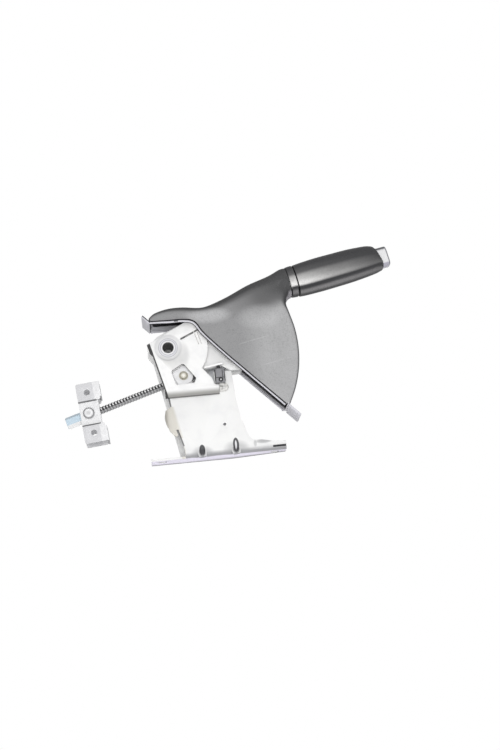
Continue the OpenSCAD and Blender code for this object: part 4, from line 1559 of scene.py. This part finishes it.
    def hung(self, foot: Pair, share: float, hang: float) -> Pair:
        """Point of the lower edge let down, from the rear's sag at share 0 to the slant's at 1."""
        sags = zip(foot, self.sag_rear, self.sag_front)
        return tuple(p + hang * mix(rear, front, share) for p, rear, front in sags)

    def side(self, top: Sequence[Sequence[float]], tops: Grid, fronts: Grid,
             hang: float) -> list[Grid]:
        """Patches of the near side.

        Args:
            top: Stations along the top.
            tops: Sections along the top.
            fronts: Sections along the front.
            hang: Share of the sag that lets down the lower edge.

        Returns:
            The rear panel, the neck and the fan, each as rows of points.
        """
        matched, gate = self.matched * self.steps, self.gate * self.steps
        hem = self.hem(top, tops, fronts)
        rear = []
        for i in range(matched + 1):
            past = max(0.0, i / self.steps - self.slant_from)
            rim = mix(self.rim, self.rim_front, ease(past / self.rim_run))
            share = ease(past / (self.matched - self.slant_from))
            rear.append(self.drop(tops[i][0], self.hung(top[i][2:4], share, hang), rim, hem))
        depth = len(tops) - 1 - gate
        neck = []
        for i in range(depth + 1):
            start, end = tops[-1 - i][0], fronts[i][0]
            row = [start.lerp(end, j / self.columns) for j in range(self.columns + 1)]
            for spot in row[1:-1]:
                spot.y = -self.width_at(spot, hem)
            neck.append(row)
        runs = ([tops[i][0] for i in range(matched, gate + 1)], neck[-1],
                [front[0] for front in fronts[depth:]])
        fan = []
        for n, run in enumerate(runs):
            for i, shoulder in enumerate(run):
                if n and i == 0:
                    continue
                share = mix(self.share_at[n], self.share_at[n + 1], i / (len(run) - 1))
                foot = self.hung(self.on_edge(share), 1.0, hang)
                fan.append(self.drop(shoulder, foot, self.rim_front, hem))
        return [rear, neck, fan]

    def lip(self, name: str, spot: Pair, angle: float, reach: Pair, sag: Pair,
            layer: Pair) -> Piece:
        """Flat lip across the shroud from a spot along a direction, let down at its near end.

        Args:
            name: Name of the piece.
            spot: Root of the lip, measured from the pivot.
            angle: Direction of the lip.
            reach: Start and end along that direction.
            sag: How far its near end is let down.
            layer: Start and end of its thickness, from one face of the whole lip.

        Returns:
            The lip.
        """
        half = self.half_width - self.lip_in
        low, high = (depth - self.lip_t / 2 for depth in layer)
        piece = Bench.block(name, (reach[0], -half, low), (reach[1], half, high),
                            min(self.lip_rounding, (high - low) / 3))
        turn = Matrix.Rotation(-math.radians(angle), 4, "Y")
        Bench.place(piece, Matrix.Translation(self.layout.at(spot)) @ turn)
        for vertex in piece.data.vertices:
            share = 0.5 - vertex.co.y / MM / half / 2
            vertex.co += flat(*sag) * share * MM
        return piece

    def rear_lip(self, name: str, layer: Pair) -> Piece:
        """One layer of the rear lip."""
        return self.lip(name, self.lip_rear_at, self.lip_rear_angle, self.lip_rear,
                        self.lip_rear_sag, layer)

    def front_lip(self) -> Piece:
        """Lip that carries on the slanted edge, with half of its sag.

        Returns:
            The lip.
        """
        across, down = (end - start for start, end in zip(self.edge_from, self.edge_to))
        slope = math.degrees(math.atan2(down, across))
        sag = tuple(value / 2 for value in self.sag_front)
        return self.lip("front_lip", self.lip_front_at, slope, self.lip_front, sag, (0, self.lip_t))

    @staticmethod
    def welded(name: str, patches: Sequence[Grid], wall: float) -> Piece:
        """Weld patches into one skin with a wall on its inside.

        Args:
            name: Name of the piece.
            patches: Rows of points of each patch.
            wall: Thickness of the wall.

        Returns:
            The closed piece.
        """
        skins = [Bench.skin(f"{name}_patch{i}", rows) for i, rows in enumerate(patches)]
        piece = Bench.tidy(Bench.join(name, skins))
        outward = max(piece.data.polygons, key=lambda face: abs(face.center.y))
        if outward.normal.y * outward.center.y < 0:
            Bench.edit_all(piece)
            bpy.ops.mesh.flip_normals()
            Bench.clear()
        solid = piece.modifiers.new("wall", "SOLIDIFY")
        solid.thickness = wall * MM
        solid.offset = -1
        solid.material_offset = solid.material_offset_rim = 1
        for _ in range(2):
            piece.data.materials.append(None)
        return Bench.finish(piece)

    def patches(self) -> list[Grid]:
        """Patches of the whole cover: top, front, the near side's and the far side's.

        Returns:
            The patches, each as rows of points.
        """
        up = heading(self.layout.grip_angle)[1]
        top = flow(self.top_rows(), self.steps)
        front = flow(self.front_rows(), self.steps)
        tops = self.sections(top, len(top) - 1, -up)
        fronts = self.sections(front, 0, up)
        near, far = (self.side(top, tops, fronts, hang) for hang in (1.0, 0.0))
        far = [[[mirrored(p) for p in row] for row in patch] for patch in far]
        return [tops, fronts, *near, *far]

    def build(self) -> None:
        """Weld the cover, its strip of painted shadow and its bead, and add the lips."""
        tops, fronts, *sides = self.patches()
        shadow_from = self.columns + 1
        bead = shadow_from + self.shadow_rows
        rimmed = [patch for patch in sides if len(patch[0]) > shadow_from]
        panels = [tops, fronts, *([row[:shadow_from + 1] for row in patch] for patch in sides)]
        cover = Bench.smooth(self.welded("shroud_cover", panels, self.wall), self.crisp)
        # Dark skin on the rear lip: a painted shadow line
        dress(self.rear_lip("lip_skin", (0, self.lip_skin)), SHADOW_STRIP, Body.LEVER, Slot.SHROUD)
        strips = [[row[shadow_from:bead + 1] for row in patch] for patch in rimmed]
        shadow_strips = Bench.smooth(self.welded("shroud_shadow_strip", strips, self.shadow_wall), self.crisp)
        dress(shadow_strips, SHADOW_STRIP, Body.LEVER, Slot.SHROUD, inside=self.lining())
        strips = [[row[bead:] for row in patch] for patch in rimmed]
        beads = self.welded("shroud_bead", strips, self.wall)
        lips = [self.rear_lip("rear_lip", (self.lip_skin, self.lip_t)), self.front_lip()]
        # Inner faces of the bead: dark on the near half as painted shade, pale on the far half as
        # painted light
        far_half = Band(LIT_EDGE.colour, ORIGIN, FAR, 0.0, 40.0)
        under = replace(LINER, name="bead_liner", bands=(far_half,))
        for number, finish in enumerate((LIT_EDGE, under)):
            beads.data.materials[number] = finish.material()
        for lip in lips:
            lip.data.materials.append(LIT_EDGE.material())
        lit_edge = Bench.smooth(Bench.join("shroud_lit_edge", [beads, *lips]), self.crisp)
        dress(lit_edge, LIT_EDGE, Body.LEVER, Slot.SHROUD, inside=under)
        dress(cover, SHROUD, Body.LEVER, Slot.SHROUD, "shroud", inside=self.lining())

    def lining(self) -> BandedPlastic:
        """Inside of the cover, near black as painted shade, with painted light: pale along the rear
        edge and pearly along the slanted one.

        Returns:
            The finish.
        """
        at = self.layout.pivot
        start, end = self.layout.at(self.edge_from), self.layout.at(self.edge_to)
        way = (end - start).normalized()
        pale, pearl = (0.62, 0.62, 0.65), (0.95, 0.94, 0.98)
        return replace(LINER, bands=(
            Band(pearl, start, (-way.z, 0, way.x), -30, 1.2, 3.4,
                 within=Band(BLACK, start, way, 0, 200, 3.0)),
            Band(pale, at, UP, 10, 34.7, 1.4, within=Band(BLACK, at, BACK, -34, 60, 2.0)),
        ))


@dataclass
class Grip:
    """Soft grip with its collar ring and the release button in its end."""

    layout: Layout
    length: float = 110.0
    tall: float = 20.0
    wide: float = 16.0
    # Length and depth of the chamfer beside the collar
    chamfer: Pair = (0.6, 0.9)
    collar_h: float = 16.8
    collar_from: float = 0.8
    collar_to: float = 8.8
    groove: float = 0.8
    spigot_from: float = -4.0
    spigot_in: float = 3.2
    tube_r: float = 8.05
    pocket_from: float = 90.5
    pocket: Pair = (8.3, 11.6)
    # Depth and width of the pocket's rounded mouth
    mouth: Pair = (0.5, 0.35)
    button: Pair = (8.0, 11.3)
    button_from: float = 99.0
    button_out: float = 10.0
    button_edge: float = 0.6
    button_sides: int = 64
    # Distances back from the button's tip with insets of the outline, which grows rounder with them
    face: tuple[Pair, ...] = ((3.2, 0.0), (2.3, 0.12), (1.6, 0.45), (1.1, 1.0), (0.75, 1.8),
                              (0.45, 3.4), (0.15, 5.6))
    rounder: float = 0.3
    stem_from: float = 74.0
    stem_r: float = 6.7
    point_r: float = 0.01
    # Steps round a section
    side_steps: int = 8
    crown_steps: int = 40
    belly_steps: int = 20
    # Steps between stations, and halvings that find the crease
    run_steps: int = 5
    halvings: int = 40
    # Squareness of the button, of the grip's sides and of its crown
    square: float = 5.0
    side_power: float = 3.0
    crown_power: float = 2.3
    crease: float = 0.59
    slant: float = 4.5
    slant_from: float = 0.8
    # Edges sharper than these stay crisp
    grip_crisp: float = 18
    button_crisp: float = 40

    def skin_finish(self) -> GripSkin:
        """Soft finish with its painted sheen laid along the grip.

        Returns:
            The finish.
        """
        frame_x = self.layout.along_grip()
        return GripSkin("grip_soft", (0.045, 0.045, 0.048), (0.022, 0.022, 0.024), 0.5, 0.7, 0.04,
                        0.2, 0.5, root=frame_x.translation.copy(), way=Layout.ahead(frame_x))

    def oval(self, x: float, top: float, bottom: float, wide: float) -> list[Vector]:
        """Section of the grip: full above, with a flat-arched belly below a crease.

        Args:
            x: Place along the grip.
            top: Height above the axis.
            bottom: Depth below the axis.
            wide: Half width.

        Returns:
            Closed ring from the near crease over the top and back along the belly.
        """
        def belly(y: float) -> float:
            """Depth of the belly at a width."""
            return bottom * ((1 - self.crease) * (y / wide) ** 2 - 1)

        power = self.side_power
        low, high = 0.0, wide
        for _ in range(self.halvings):
            y = (low + high) / 2
            side = -bottom * (1 - (y / wide) ** power) ** (1 / power)
            low, high = (low, y) if side > belly(y) else (y, high)
        corner = math.acos((low / wide) ** (power / 2))
        half = []
        for i in range(self.side_steps):
            turn = corner * (1 - i / self.side_steps)
            half.append((wide * math.cos(turn) ** (2 / power),
                         -bottom * math.sin(turn) ** (2 / power)))
        points = [(-y, z) for y, z in half]
        power = self.crown_power
        for i in range(self.crown_steps + 1):
            turn = math.pi * i / self.crown_steps
            c = math.cos(turn)
            points.append((-wide * math.copysign(abs(c) ** (2 / power), c),
                           top * abs(math.sin(turn)) ** (2 / power)))
        points += list(reversed(half))
        for i in range(1, self.belly_steps + 1):
            y = half[0][0] * (1 - 2 * i / self.belly_steps)
            points.append((y, belly(y)))
        return [Vector((x, y, z)) for y, z in points]

    @staticmethod
    def inside(x: float, like: Sequence[Vector], reach: Reach) -> list[Vector]:
        """Ring with a point straight inside each point of another ring."""
        return ring(x, [math.atan2(p.z, p.y) for p in like], reach)

    def rows(self) -> list[tuple[float, ...]]:
        """Stations along the grip: place, top, bottom and half width.

        Returns:
            The stations from the collar to the end.
        """
        h, w, end, x = self.tall, self.wide, self.length, self.collar_to + self.groove
        return [
            (x, h - 2.6, h - 1.6, w - 0.6),
            (x + 10, h - 1.6, h - 1, w - 0.4),
            (0.34 * end, h - 0.7, h - 0.9, w),
            (0.5 * end, h - 0.6, h - 1.3, w),
            (0.67 * end, h - 0.6, h - 2, w - 0.3),
            (0.83 * end, h - 1.6, h - 3.4, w - 1.2),
            (0.92 * end, h - 2.4, h - 4.6, w - 2),
            (end - 4, h - 3.4, h - 5.6, w - 2.8),
            (end - 1.2, h - 4.4, h - 6.4, w - 3.8),
            (end, h - 6, h - 7.4, w - 4.8),
        ]

    def lean_back(self, points: Sequence[Vector]) -> list[Vector]:
        """Slant a ring near the grip's end, so that its top ends first.

        Args:
            points: Points of the ring.

        Returns:
            The slanted ring.
        """
        start = self.slant_from * self.length
        result = []
        for p in points:
            share = ease((p.x - start) / (self.length - start))
            result.append(p - flat(self.slant * share * max(0.0, p.z / self.tall + 1 / 3), 0))
        return result

    def sleeve(self, name: str, ovals: Grid, pocket: Grid) -> Piece:
        """Close a run of ovals over the lever tube and put it along the grip.

        Args:
            name: Name of the piece.
            ovals: Rings of the outside.
            pocket: Rings of a pocket in the end, or none.

        Returns:
            The sleeve.
        """
        start, tube = ovals[0], squared(self.tube_r, self.tube_r)
        ends = [self.inside(row[0].x, start, tube) for row in (start, [*ovals, *pocket][-1])]
        piece = Bench.skin(name, [ends[0], *ovals, *pocket, ends[1], ends[0]])
        return Bench.smooth(Bench.place(piece, self.layout.along_grip()), self.grip_crisp)

    def build(self) -> None:
        """Model the grip, the collar and the button."""
        stations = self.rows()
        ovals = [self.lean_back(self.oval(*row)) for row in flow(stations, self.run_steps)]
        place, *first = stations[0]
        run, depth = self.chamfer
        chamfer = self.oval(place, *(value - depth for value in first))
        ovals[0] = self.oval(place + run, *first)
        (wide, tall), (deep, lip) = self.pocket, self.mouth
        pocket = [
            self.lean_back(self.inside(x, ovals[-1], squared(wide + out, tall + out, self.square)))
            for x, out in ((self.length, lip), (self.length - deep, 0.0), (self.pocket_from, 0.0))
        ]
        piece = self.sleeve("soft_grip", [chamfer, *ovals], pocket)
        dress(piece, self.skin_finish(), Body.LEVER, Slot.GRIP, "grip")
        self.collar()
        self.push_button()

    def collar(self) -> None:
        """Ring between two grooves, on a spigot inside the neck."""
        h, a, b = self.collar_h, self.collar_from, self.collar_to
        spigot = h - self.spigot_in
        ovals = [self.oval(*row) for row in (
            (self.spigot_from, spigot, spigot, spigot),
            (a - 0.01, spigot, spigot, spigot),
            (a, h - 0.5, h - 0.5, h - 1.9),
            (a + 0.25, h, h, h - 1.4),
            (a + 0.9, h + 0.45, h + 0.45, h - 1),
            ((a + b) / 2, h + 0.8, h + 0.8, h - 0.7),
            (b - 0.9, h + 0.9, h + 1, h - 0.7),
            (b - 0.25, h + 0.6, h + 0.7, h - 1),
            (b, h + 0.1, h + 0.2, h - 1.5),
        )]
        piece = self.sleeve("collar_ring", ovals, [])
        dress(piece, self.skin_finish(), Body.LEVER, Slot.GRIP, "grip_collar")

    def push_button(self) -> None:
        """Rounded button with a domed face on its stem."""
        tip, edge = self.length + self.button_out, self.button_edge
        wide, tall = self.button
        stem, point = (squared(r, r) for r in (self.stem_r, self.point_r))
        rows = [
            (self.stem_from, point), (self.stem_from, stem), (self.button_from, stem),
            (self.button_from, squared(wide - edge, tall - edge, self.square)),
            (self.button_from + edge, squared(wide, tall, self.square)),
        ]
        for back, inset in self.face:
            power = self.square - inset * self.rounder
            rows.append((tip - back, squared(wide - inset, tall - inset, power)))
        rows.append((tip, point))
        angles = turns(self.button_sides)
        piece = Bench.skin("push_button", [ring(x, angles, reach) for x, reach in rows])
        frame_x = self.layout.along_grip()
        Bench.smooth(Bench.place(piece, frame_x), self.button_crisp)
        out, up = heading(self.layout.grip_angle)
        # Painted reflection on faces turned down, painted shade on faces turned up, on the end's
        # rounding and on the part inside the pocket
        finish = Plated(
            "satin_chrome", (0.82, 0.82, 0.83), (0.66, 0.66, 0.68), 0.3, 3.0, 0.3, 0.35, (
                Facing((0.46, 0.45, 0.52), -up, 0.12, 0.4),
                Facing((0.1, 0.1, 0.11), up, 0.04, 0.35),
                Facing((0.22, 0.22, 0.24), out, 0.08, 0.3),
                Facing((0.75, 0.75, 0.77), out, 0.5, 0.8),
                Band((0.12, 0.12, 0.13), frame_x.translation.copy(), out,
                     self.length - 12, self.length - 6, 0.9)))
        dress(piece, finish, Body.BUTTON, Slot.BRIGHT, "release_button")


@dataclass
class LeverAssembly:
    """Lever cheeks with the clevis pin, and the parts that work inside them."""

    layout: Layout
    cheek_y: float = 10.0
    cheek_rounding: float = 0.5
    keeper_t: float = 2.4
    keeper_rounding: float = 0.6
    # Painted shade on the keeper's rim: its inner radius and shift from the pin
    rim_r: float = 11.7
    rim_shift: float = 1.2
    pin_r: float = 5.0
    spring_l: float = 30.0
    spring_to: float = 74.0
    press: float = 8.0

    def build(self) -> None:
        """Model and dress all the pieces."""
        for node in ("near_lever_cheek", "far_lever_cheek"):
            piece = Bench.from_cad(node, "dressed_" + node, self.cheek_rounding)
            dress(piece, CHEEK, Body.LEVER, Slot.PRESSING, node)
        keeper = Bench.from_cad("keeper_plate", "clevis_keeper", self.keeper_rounding, 3)
        at = self.layout.clevis_at()
        rim = Ring((0.05, 0.05, 0.052), at - flat(self.rim_shift, 0), self.rim_r, 30, 0.6, 0.95)
        finish = replace(BRIGHT, name="keeper_finish", cloudy=0.2, tones=(rim,))
        dress(keeper, finish, Body.LEVER, Slot.BRIGHT, "keeper_plate")
        self.pin()
        repaint(ZINC, "lever_hub", "cheek_spacers", "pawl_pin", "pawl", "lever_tube", "release_rod")
        repaint(BRONZE, "pivot_bush")
        repaint(NYLON, "rod_guide", "spring_seat")
        self.coil()

    def pin(self) -> None:
        """Clevis pin with a far head and a near end riveted over the keeper."""
        near, far, r = self.cheek_y + self.keeper_t, self.cheek_y, self.pin_r
        profile = [
            (-far - 2.5, 0.5), (-far - 2.5, r + 1.6), (-far - 2.1, r + 2.2), (-far, r + 3),
            (-far, r), (near - 0.4, r), (near + 0.2, r - 0.3), (near + 0.25, r - 1.5),
            (near + 1.5, r - 1.7), (near + 2.1, r - 2.3), (near + 2.4, r - 3.4), (near + 2.4, 0.4),
        ]
        at = self.layout.clevis_at()
        piece = Bench.turn("clevis_rivet", profile, Layout.facing(at))
        # Buff plating with painted shade in a ring round the riveted end and a painted highlight at
        # its centre
        finish = Plated("buff_plate", (0.76, 0.73, 0.64), (0.56, 0.53, 0.44), 0.5, 2.5, 0.3, 0.4, (
            Ring((0.3, 0.28, 0.22), at, 3.4, 4.4, 0.4, 0.8),
            Ring((0.92, 0.9, 0.84), at, -1, 1.2, 0.8)))
        dress(piece, finish, Body.LEVER, Slot.BRIGHT, "clevis_pin")

    def coil(self) -> None:
        """Release spring, copied from its CAD node with a mesh of its own."""
        spring = Bench.from_cad("release_spring", "coil_spring")
        dress(spring, BRIGHT, Body.LEVER, Slot.BRIGHT, "release_spring")
        grip = self.layout.along_grip()
        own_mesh(spring)


@dataclass
class PullRodAssembly:
    """Threaded pull rod with its eye, adjusting nut, trunnion and cable equaliser."""

    layout: Layout
    rod_r: float = 4.0
    root_r: float = 3.45
    pitch: float = 3.4
    # Steepness of the thread's flanks, and width of its root
    flank: Pair = (2.6, 0.2)
    rod_from: float = 13.0
    rod_to: float = 134.1
    sides: int = 28
    per_turn: int = 10
    nut_from: float = 117.1
    nut_l: float = 18.5
    nut_af: float = 11.6
    nut_bore: float = 4.05
    nut_sides: int = 72
    # Distances from an end of the nut with the radius that its chamfer allows
    nut_ends: tuple[Pair, ...] = ((0.0, 5.0), (0.0, 5.5), (0.35, 6.0), (0.8, 6.5), (1.2, 6.9))
    head_y: float = 10.5
    eye_rounding: float = 0.6
    barrel_rounding: float = 0.4
    plate_rounding: float = 0.6
    # Equaliser: its tilt, the run to its fold and the height of its steps
    tilt: float = 5.7
    fold_x: float = 8.5
    step_z: float = 13.4
    # Edges sharper than these stay crisp
    rod_crisp: float = 50
    nut_crisp: float = 22

    def build(self) -> None:
        """Model and dress all the pieces."""
        self.thread()
        self.nut()
        eye = Bench.from_cad("rod_eye", "forged_eye", self.eye_rounding)
        dress(eye, ZINC, Body.ROD, Slot.ZINC, "rod_eye")
        self.trunnion()
        plate = Bench.from_cad("equaliser", "cable_equaliser", self.plate_rounding, 3)
        dress(plate, self.equaliser_finish(), Body.EQUALISER, Slot.BRIGHT, "equaliser")

    def equaliser_finish(self) -> Plated:
        """Plating of the equaliser: grey wings beyond steps of painted shadow, and painted shade on
        its edges.

        Returns:
            The finish.
        """
        at, z = self.layout.trunnion_at(), self.step_z
        out, up = heading(self.tilt)
        leaf = Band(BLACK, at, out, -20, self.fold_x, 0.8)
        step = Band(BLACK, at, out, -20, self.fold_x + 2, 0.5)
        wing, dark = (0.62, 0.62, 0.64), (0.06, 0.06, 0.065)
        return replace(BRIGHT, name="equaliser_plate", tones=(
            Band(wing, at, up, z, 40, 0.4, 0.75, leaf),
            Band(wing, at, -up, z, 40, 0.4, 0.75, leaf),
            # Painted shadow along the steps, and painted shade on edges facing down and forward
            Band(dark, at, up, z - 0.9, z + 0.1, 0.3, 0.9, step),
            Band(dark, at, -up, z - 1.2, z + 0.3, 0.3, 0.9, step),
            Facing((0.35, 0.35, 0.36), -up, 0.5, 0.9),
            Facing((0.3, 0.3, 0.31), out, 0.5, 0.9),
        ))

    def crests(self, x: float) -> Reach:
        """Radius by angle of the thread at a place along the rod.

        Args:
            x: Place along the rod.

        Returns:
            The radius as a function of the angle.
        """
        steep, root = self.flank

        def reach(turn: float) -> float:
            """Radius at an angle."""
            wave = (x / self.pitch - turn / (2 * math.pi)) % 1
            return mix(self.root_r, self.rod_r, ease(steep * min(wave, 1 - wave) - root))

        return reach

    def thread(self) -> None:
        """Run a helical thread along the rod."""
        count = round((self.rod_to - self.rod_from) / self.pitch * self.per_turn)
        places = [mix(self.rod_from, self.rod_to, i / count) for i in range(count + 1)]
        rows = [ring(x, turns(self.sides), self.crests(x)) for x in places]
        ends = [[Vector((x, 0, 0))] * (self.sides + 1) for x in (self.rod_from, self.rod_to)]
        piece = Bench.skin("threaded_rod", [ends[0], *rows, ends[1]])
        frame_x = self.layout.along_rod()
        Bench.smooth(Bench.place(piece, frame_x), self.rod_crisp)
        finish = ThreadBlack("black_thread", (0.02, 0.02, 0.022), frame_x.translation.copy(),
                             Layout.ahead(frame_x))
        dress(piece, finish, Body.ROD, Slot.ROD, "pull_rod")

    def hexagon(self, most: float) -> Reach:
        """Radius by angle of the nut's hexagon, cut off where it passes the most allowed.

        Args:
            most: Greatest radius.

        Returns:
            The radius as a function of the angle.
        """
        sixth = math.pi / 3
        return lambda turn: min(
            most, self.nut_af / 2 / math.cos((turn + sixth / 2) % sixth - sixth / 2))

    def nut(self) -> None:
        """Long hexagon nut, chamfered at both ends."""
        angles, start, end = turns(self.nut_sides), self.nut_from, self.nut_from + self.nut_l
        stations = [(start + x, most) for x, most in self.nut_ends]
        stations += [(end - x, most) for x, most in reversed(self.nut_ends)]
        bore = [ring(x, angles, squared(self.nut_bore, self.nut_bore)) for x in (start, end)]
        rows = [ring(x, angles, self.hexagon(most)) for x, most in stations]
        piece = Bench.skin("hexagon_nut", [bore[0], *rows, bore[1], bore[0]])
        Bench.smooth(Bench.place(piece, self.layout.along_rod()), self.nut_crisp)
        dress(piece, BLUE, Body.NUT, Slot.BLUE, "adjusting_nut")

    def trunnion(self) -> None:
        """Barrel with a riveted head on each side."""
        barrel = Bench.from_cad("trunnion", "trunnion_barrel", self.barrel_rounding)
        y, at = self.head_y, self.layout.trunnion_at()
        profile = [
            (y, 0.5), (y, 6.3), (y + 0.7, 6.35), (y + 1.6, 6.0), (y + 2.4, 5.3), (y + 2.75, 4.6),
            (y + 2.7, 4.2), (y + 2.62, 3.6), (y + 2.8, 2.4), (y + 2.9, 0.5),
        ]
        heads = [Bench.turn("trunnion_head", profile, Layout.facing(at, near))
                 for near in (True, False)]
        # Painted shade: a dark ring round each head and grey at its centre
        finish = replace(BRIGHT, name="trunnion_plate", tones=(
            Ring((0.22, 0.22, 0.23), at, 4.9, 5.9, 0.7, 0.8),
            Ring((0.5, 0.5, 0.51), at, -1, 1.2, 1.6, 0.6)))
        piece = Bench.join("trunnion_barrel", [barrel, *heads])
        dress(piece, finish, Body.TRUNNION, Slot.BRIGHT, "trunnion")


@dataclass
class Studio:
    """Pale floor, white surroundings, soft lamps and the camera."""

    floor_z: float = -1.0
    floor_r: float = 1.6
    floor_sides: int = 96
    floor_glow: float = 0.5
    fade: Pair = (0.5, 1.5)
    azimuth: float = -4.8
    elevation: float = -13.0
    roll: float = 6.3
    distance: float = 1300.0
    target: Way = (87.1, 0.0, 87.2)
    lens: float = 56.73
    ambient: float = 0.18
    # Lamps: name, place, size in metres and power, all aimed at one point
    lamps: tuple[tuple[str, Way, float, float], ...] = (
        ("key", (40, -1200, -60), 0.8, 11.0),
        ("under", (-100, -420, -900), 0.9, 5.0),
        ("fill", (500, -500, 900), 0.9, 1.8),
        ("back", (-100, 1100, 350), 0.9, 5.0),
    )
    aim: Way = (80, 0, 110)

    def build(self) -> None:
        """Set up the stage."""
        bpy.context.scene.view_settings.view_transform = "Standard"
        self.world()
        self.floor()
        for row in self.lamps:
            self.lamp(*row)
        self.camera()

    def world(self) -> None:
        """White to the camera, to reflections and through glass, dimmer as ambient light."""
        world = bpy.data.worlds.new("studio")
        bpy.context.scene.world = world
        world.use_nodes = True
        graph = Graph(world.node_tree)
        seen = self.seen(graph)
        white, soft = (
            graph.add("ShaderNodeBackground", inputs={"Color": (1, 1, 1, 1), "Strength": strength})
            for strength in (1.0, self.ambient))
        both = graph.add("ShaderNodeMixShader", inputs={0: seen, 1: soft, 2: white})
        graph.add("ShaderNodeOutputWorld", inputs={"Surface": both})

    @staticmethod
    def seen(graph: Graph) -> Wire:
        """1 for camera, glossy and transmission rays.

        Args:
            graph: Tree of the world or of a material.

        Returns:
            The wire of the mask.
        """
        names = ("Is Camera Ray", "Is Glossy Ray", "Is Transmission Ray")
        wires = [graph.add("ShaderNodeLightPath", output=name) for name in names]
        return wires[0].high(wires[1]).high(wires[2])

    def floor(self) -> None:
        """Round floor that fades out and is clear from below."""
        Bench.clear()
        bpy.ops.mesh.primitive_circle_add(
            vertices=self.floor_sides, radius=self.floor_r, fill_type="NGON")
        floor = Bench.named("floor")
        Bench.edit_all(floor)
        bpy.ops.transform.translate(value=(self.target[0] * MM, 0, self.floor_z * MM))
        Bench.clear()
        material = bpy.data.materials.new("pale_floor")
        material.use_nodes = True
        graph = Graph(material.node_tree)
        glow = graph.tint(self.seen(graph), BLACK, (1.0, 1.0, 1.0))
        pale = graph.add("ShaderNodeBsdfPrincipled", inputs={
            "Base Color": (0.8, 0.8, 0.8, 1), "Roughness": 0.9, "Specular IOR Level": 0.0,
            "Emission Color": glow, "Emission Strength": self.floor_glow})
        clear = graph.add("ShaderNodeBsdfTransparent")
        reach = graph.vector("LENGTH", graph.place(), output="Value")
        below = graph.add("ShaderNodeNewGeometry", output="Backfacing")
        shadow = graph.add("ShaderNodeLightPath", output="Is Shadow Ray")
        through = below.high(shadow).high(reach.fade(*self.fade))
        both = graph.add("ShaderNodeMixShader", inputs={0: through, 1: pale, 2: clear})
        graph.add("ShaderNodeOutputMaterial", inputs={"Surface": both})
        floor.data.materials.append(material)

    def lamp(self, name: str, spot: Way, size: float, power: float) -> None:
        """Square soft lamp at a spot, with its size in metres.

        Args:
            name: Name of the lamp.
            spot: Place of the lamp.
            size: Length of its sides.
            power: Its power in watts.
        """
        data = bpy.data.lights.new(name, "AREA")
        data.size, data.energy = size, power
        lamp = bpy.data.objects.new(name, data)
        lamp.visible_glossy = lamp.visible_camera = False
        bpy.context.scene.collection.objects.link(lamp)
        lamp.location = Vector(spot) * MM
        aim = Vector(self.aim) - Vector(spot)
        lamp.rotation_euler = aim.to_track_quat("-Z", "Y").to_euler()

    def camera(self) -> None:
        """Camera at the photograph's viewing angle."""
        a, e, r = (math.radians(value) for value in (self.azimuth, self.elevation, self.roll))
        back = Vector((math.sin(a) * math.cos(e), -math.cos(a) * math.cos(e), math.sin(e)))
        level = Vector((math.cos(a), math.sin(a), 0))
        rise = back.cross(level)
        right = math.cos(r) * level - math.sin(r) * rise
        up = math.sin(r) * level + math.cos(r) * rise
        data = bpy.data.cameras.new("camera")
        data.lens = self.lens
        camera = bpy.data.objects.new("camera", data)
        bpy.context.scene.collection.objects.link(camera)
        turn = Matrix((right, up, back)).transposed().to_4x4()
        place = (Vector(self.target) + back * self.distance) * MM
        camera.matrix_world = Matrix.Translation(place) @ turn
        bpy.context.scene.camera = camera


def main() -> None:
    """Build the assemblies in order and note the sizes."""
    logging.basicConfig(level=logging.INFO, format="%(name)s: %(message)s")
    layout = Layout()
    for assembly in (BracketAssembly(layout), LeverAssembly(layout), Shroud(layout), Grip(layout),
                     PullRodAssembly(layout), Studio()):
        assembly.build()
    Bench.clear()


if __name__ == "__main__":
    main()
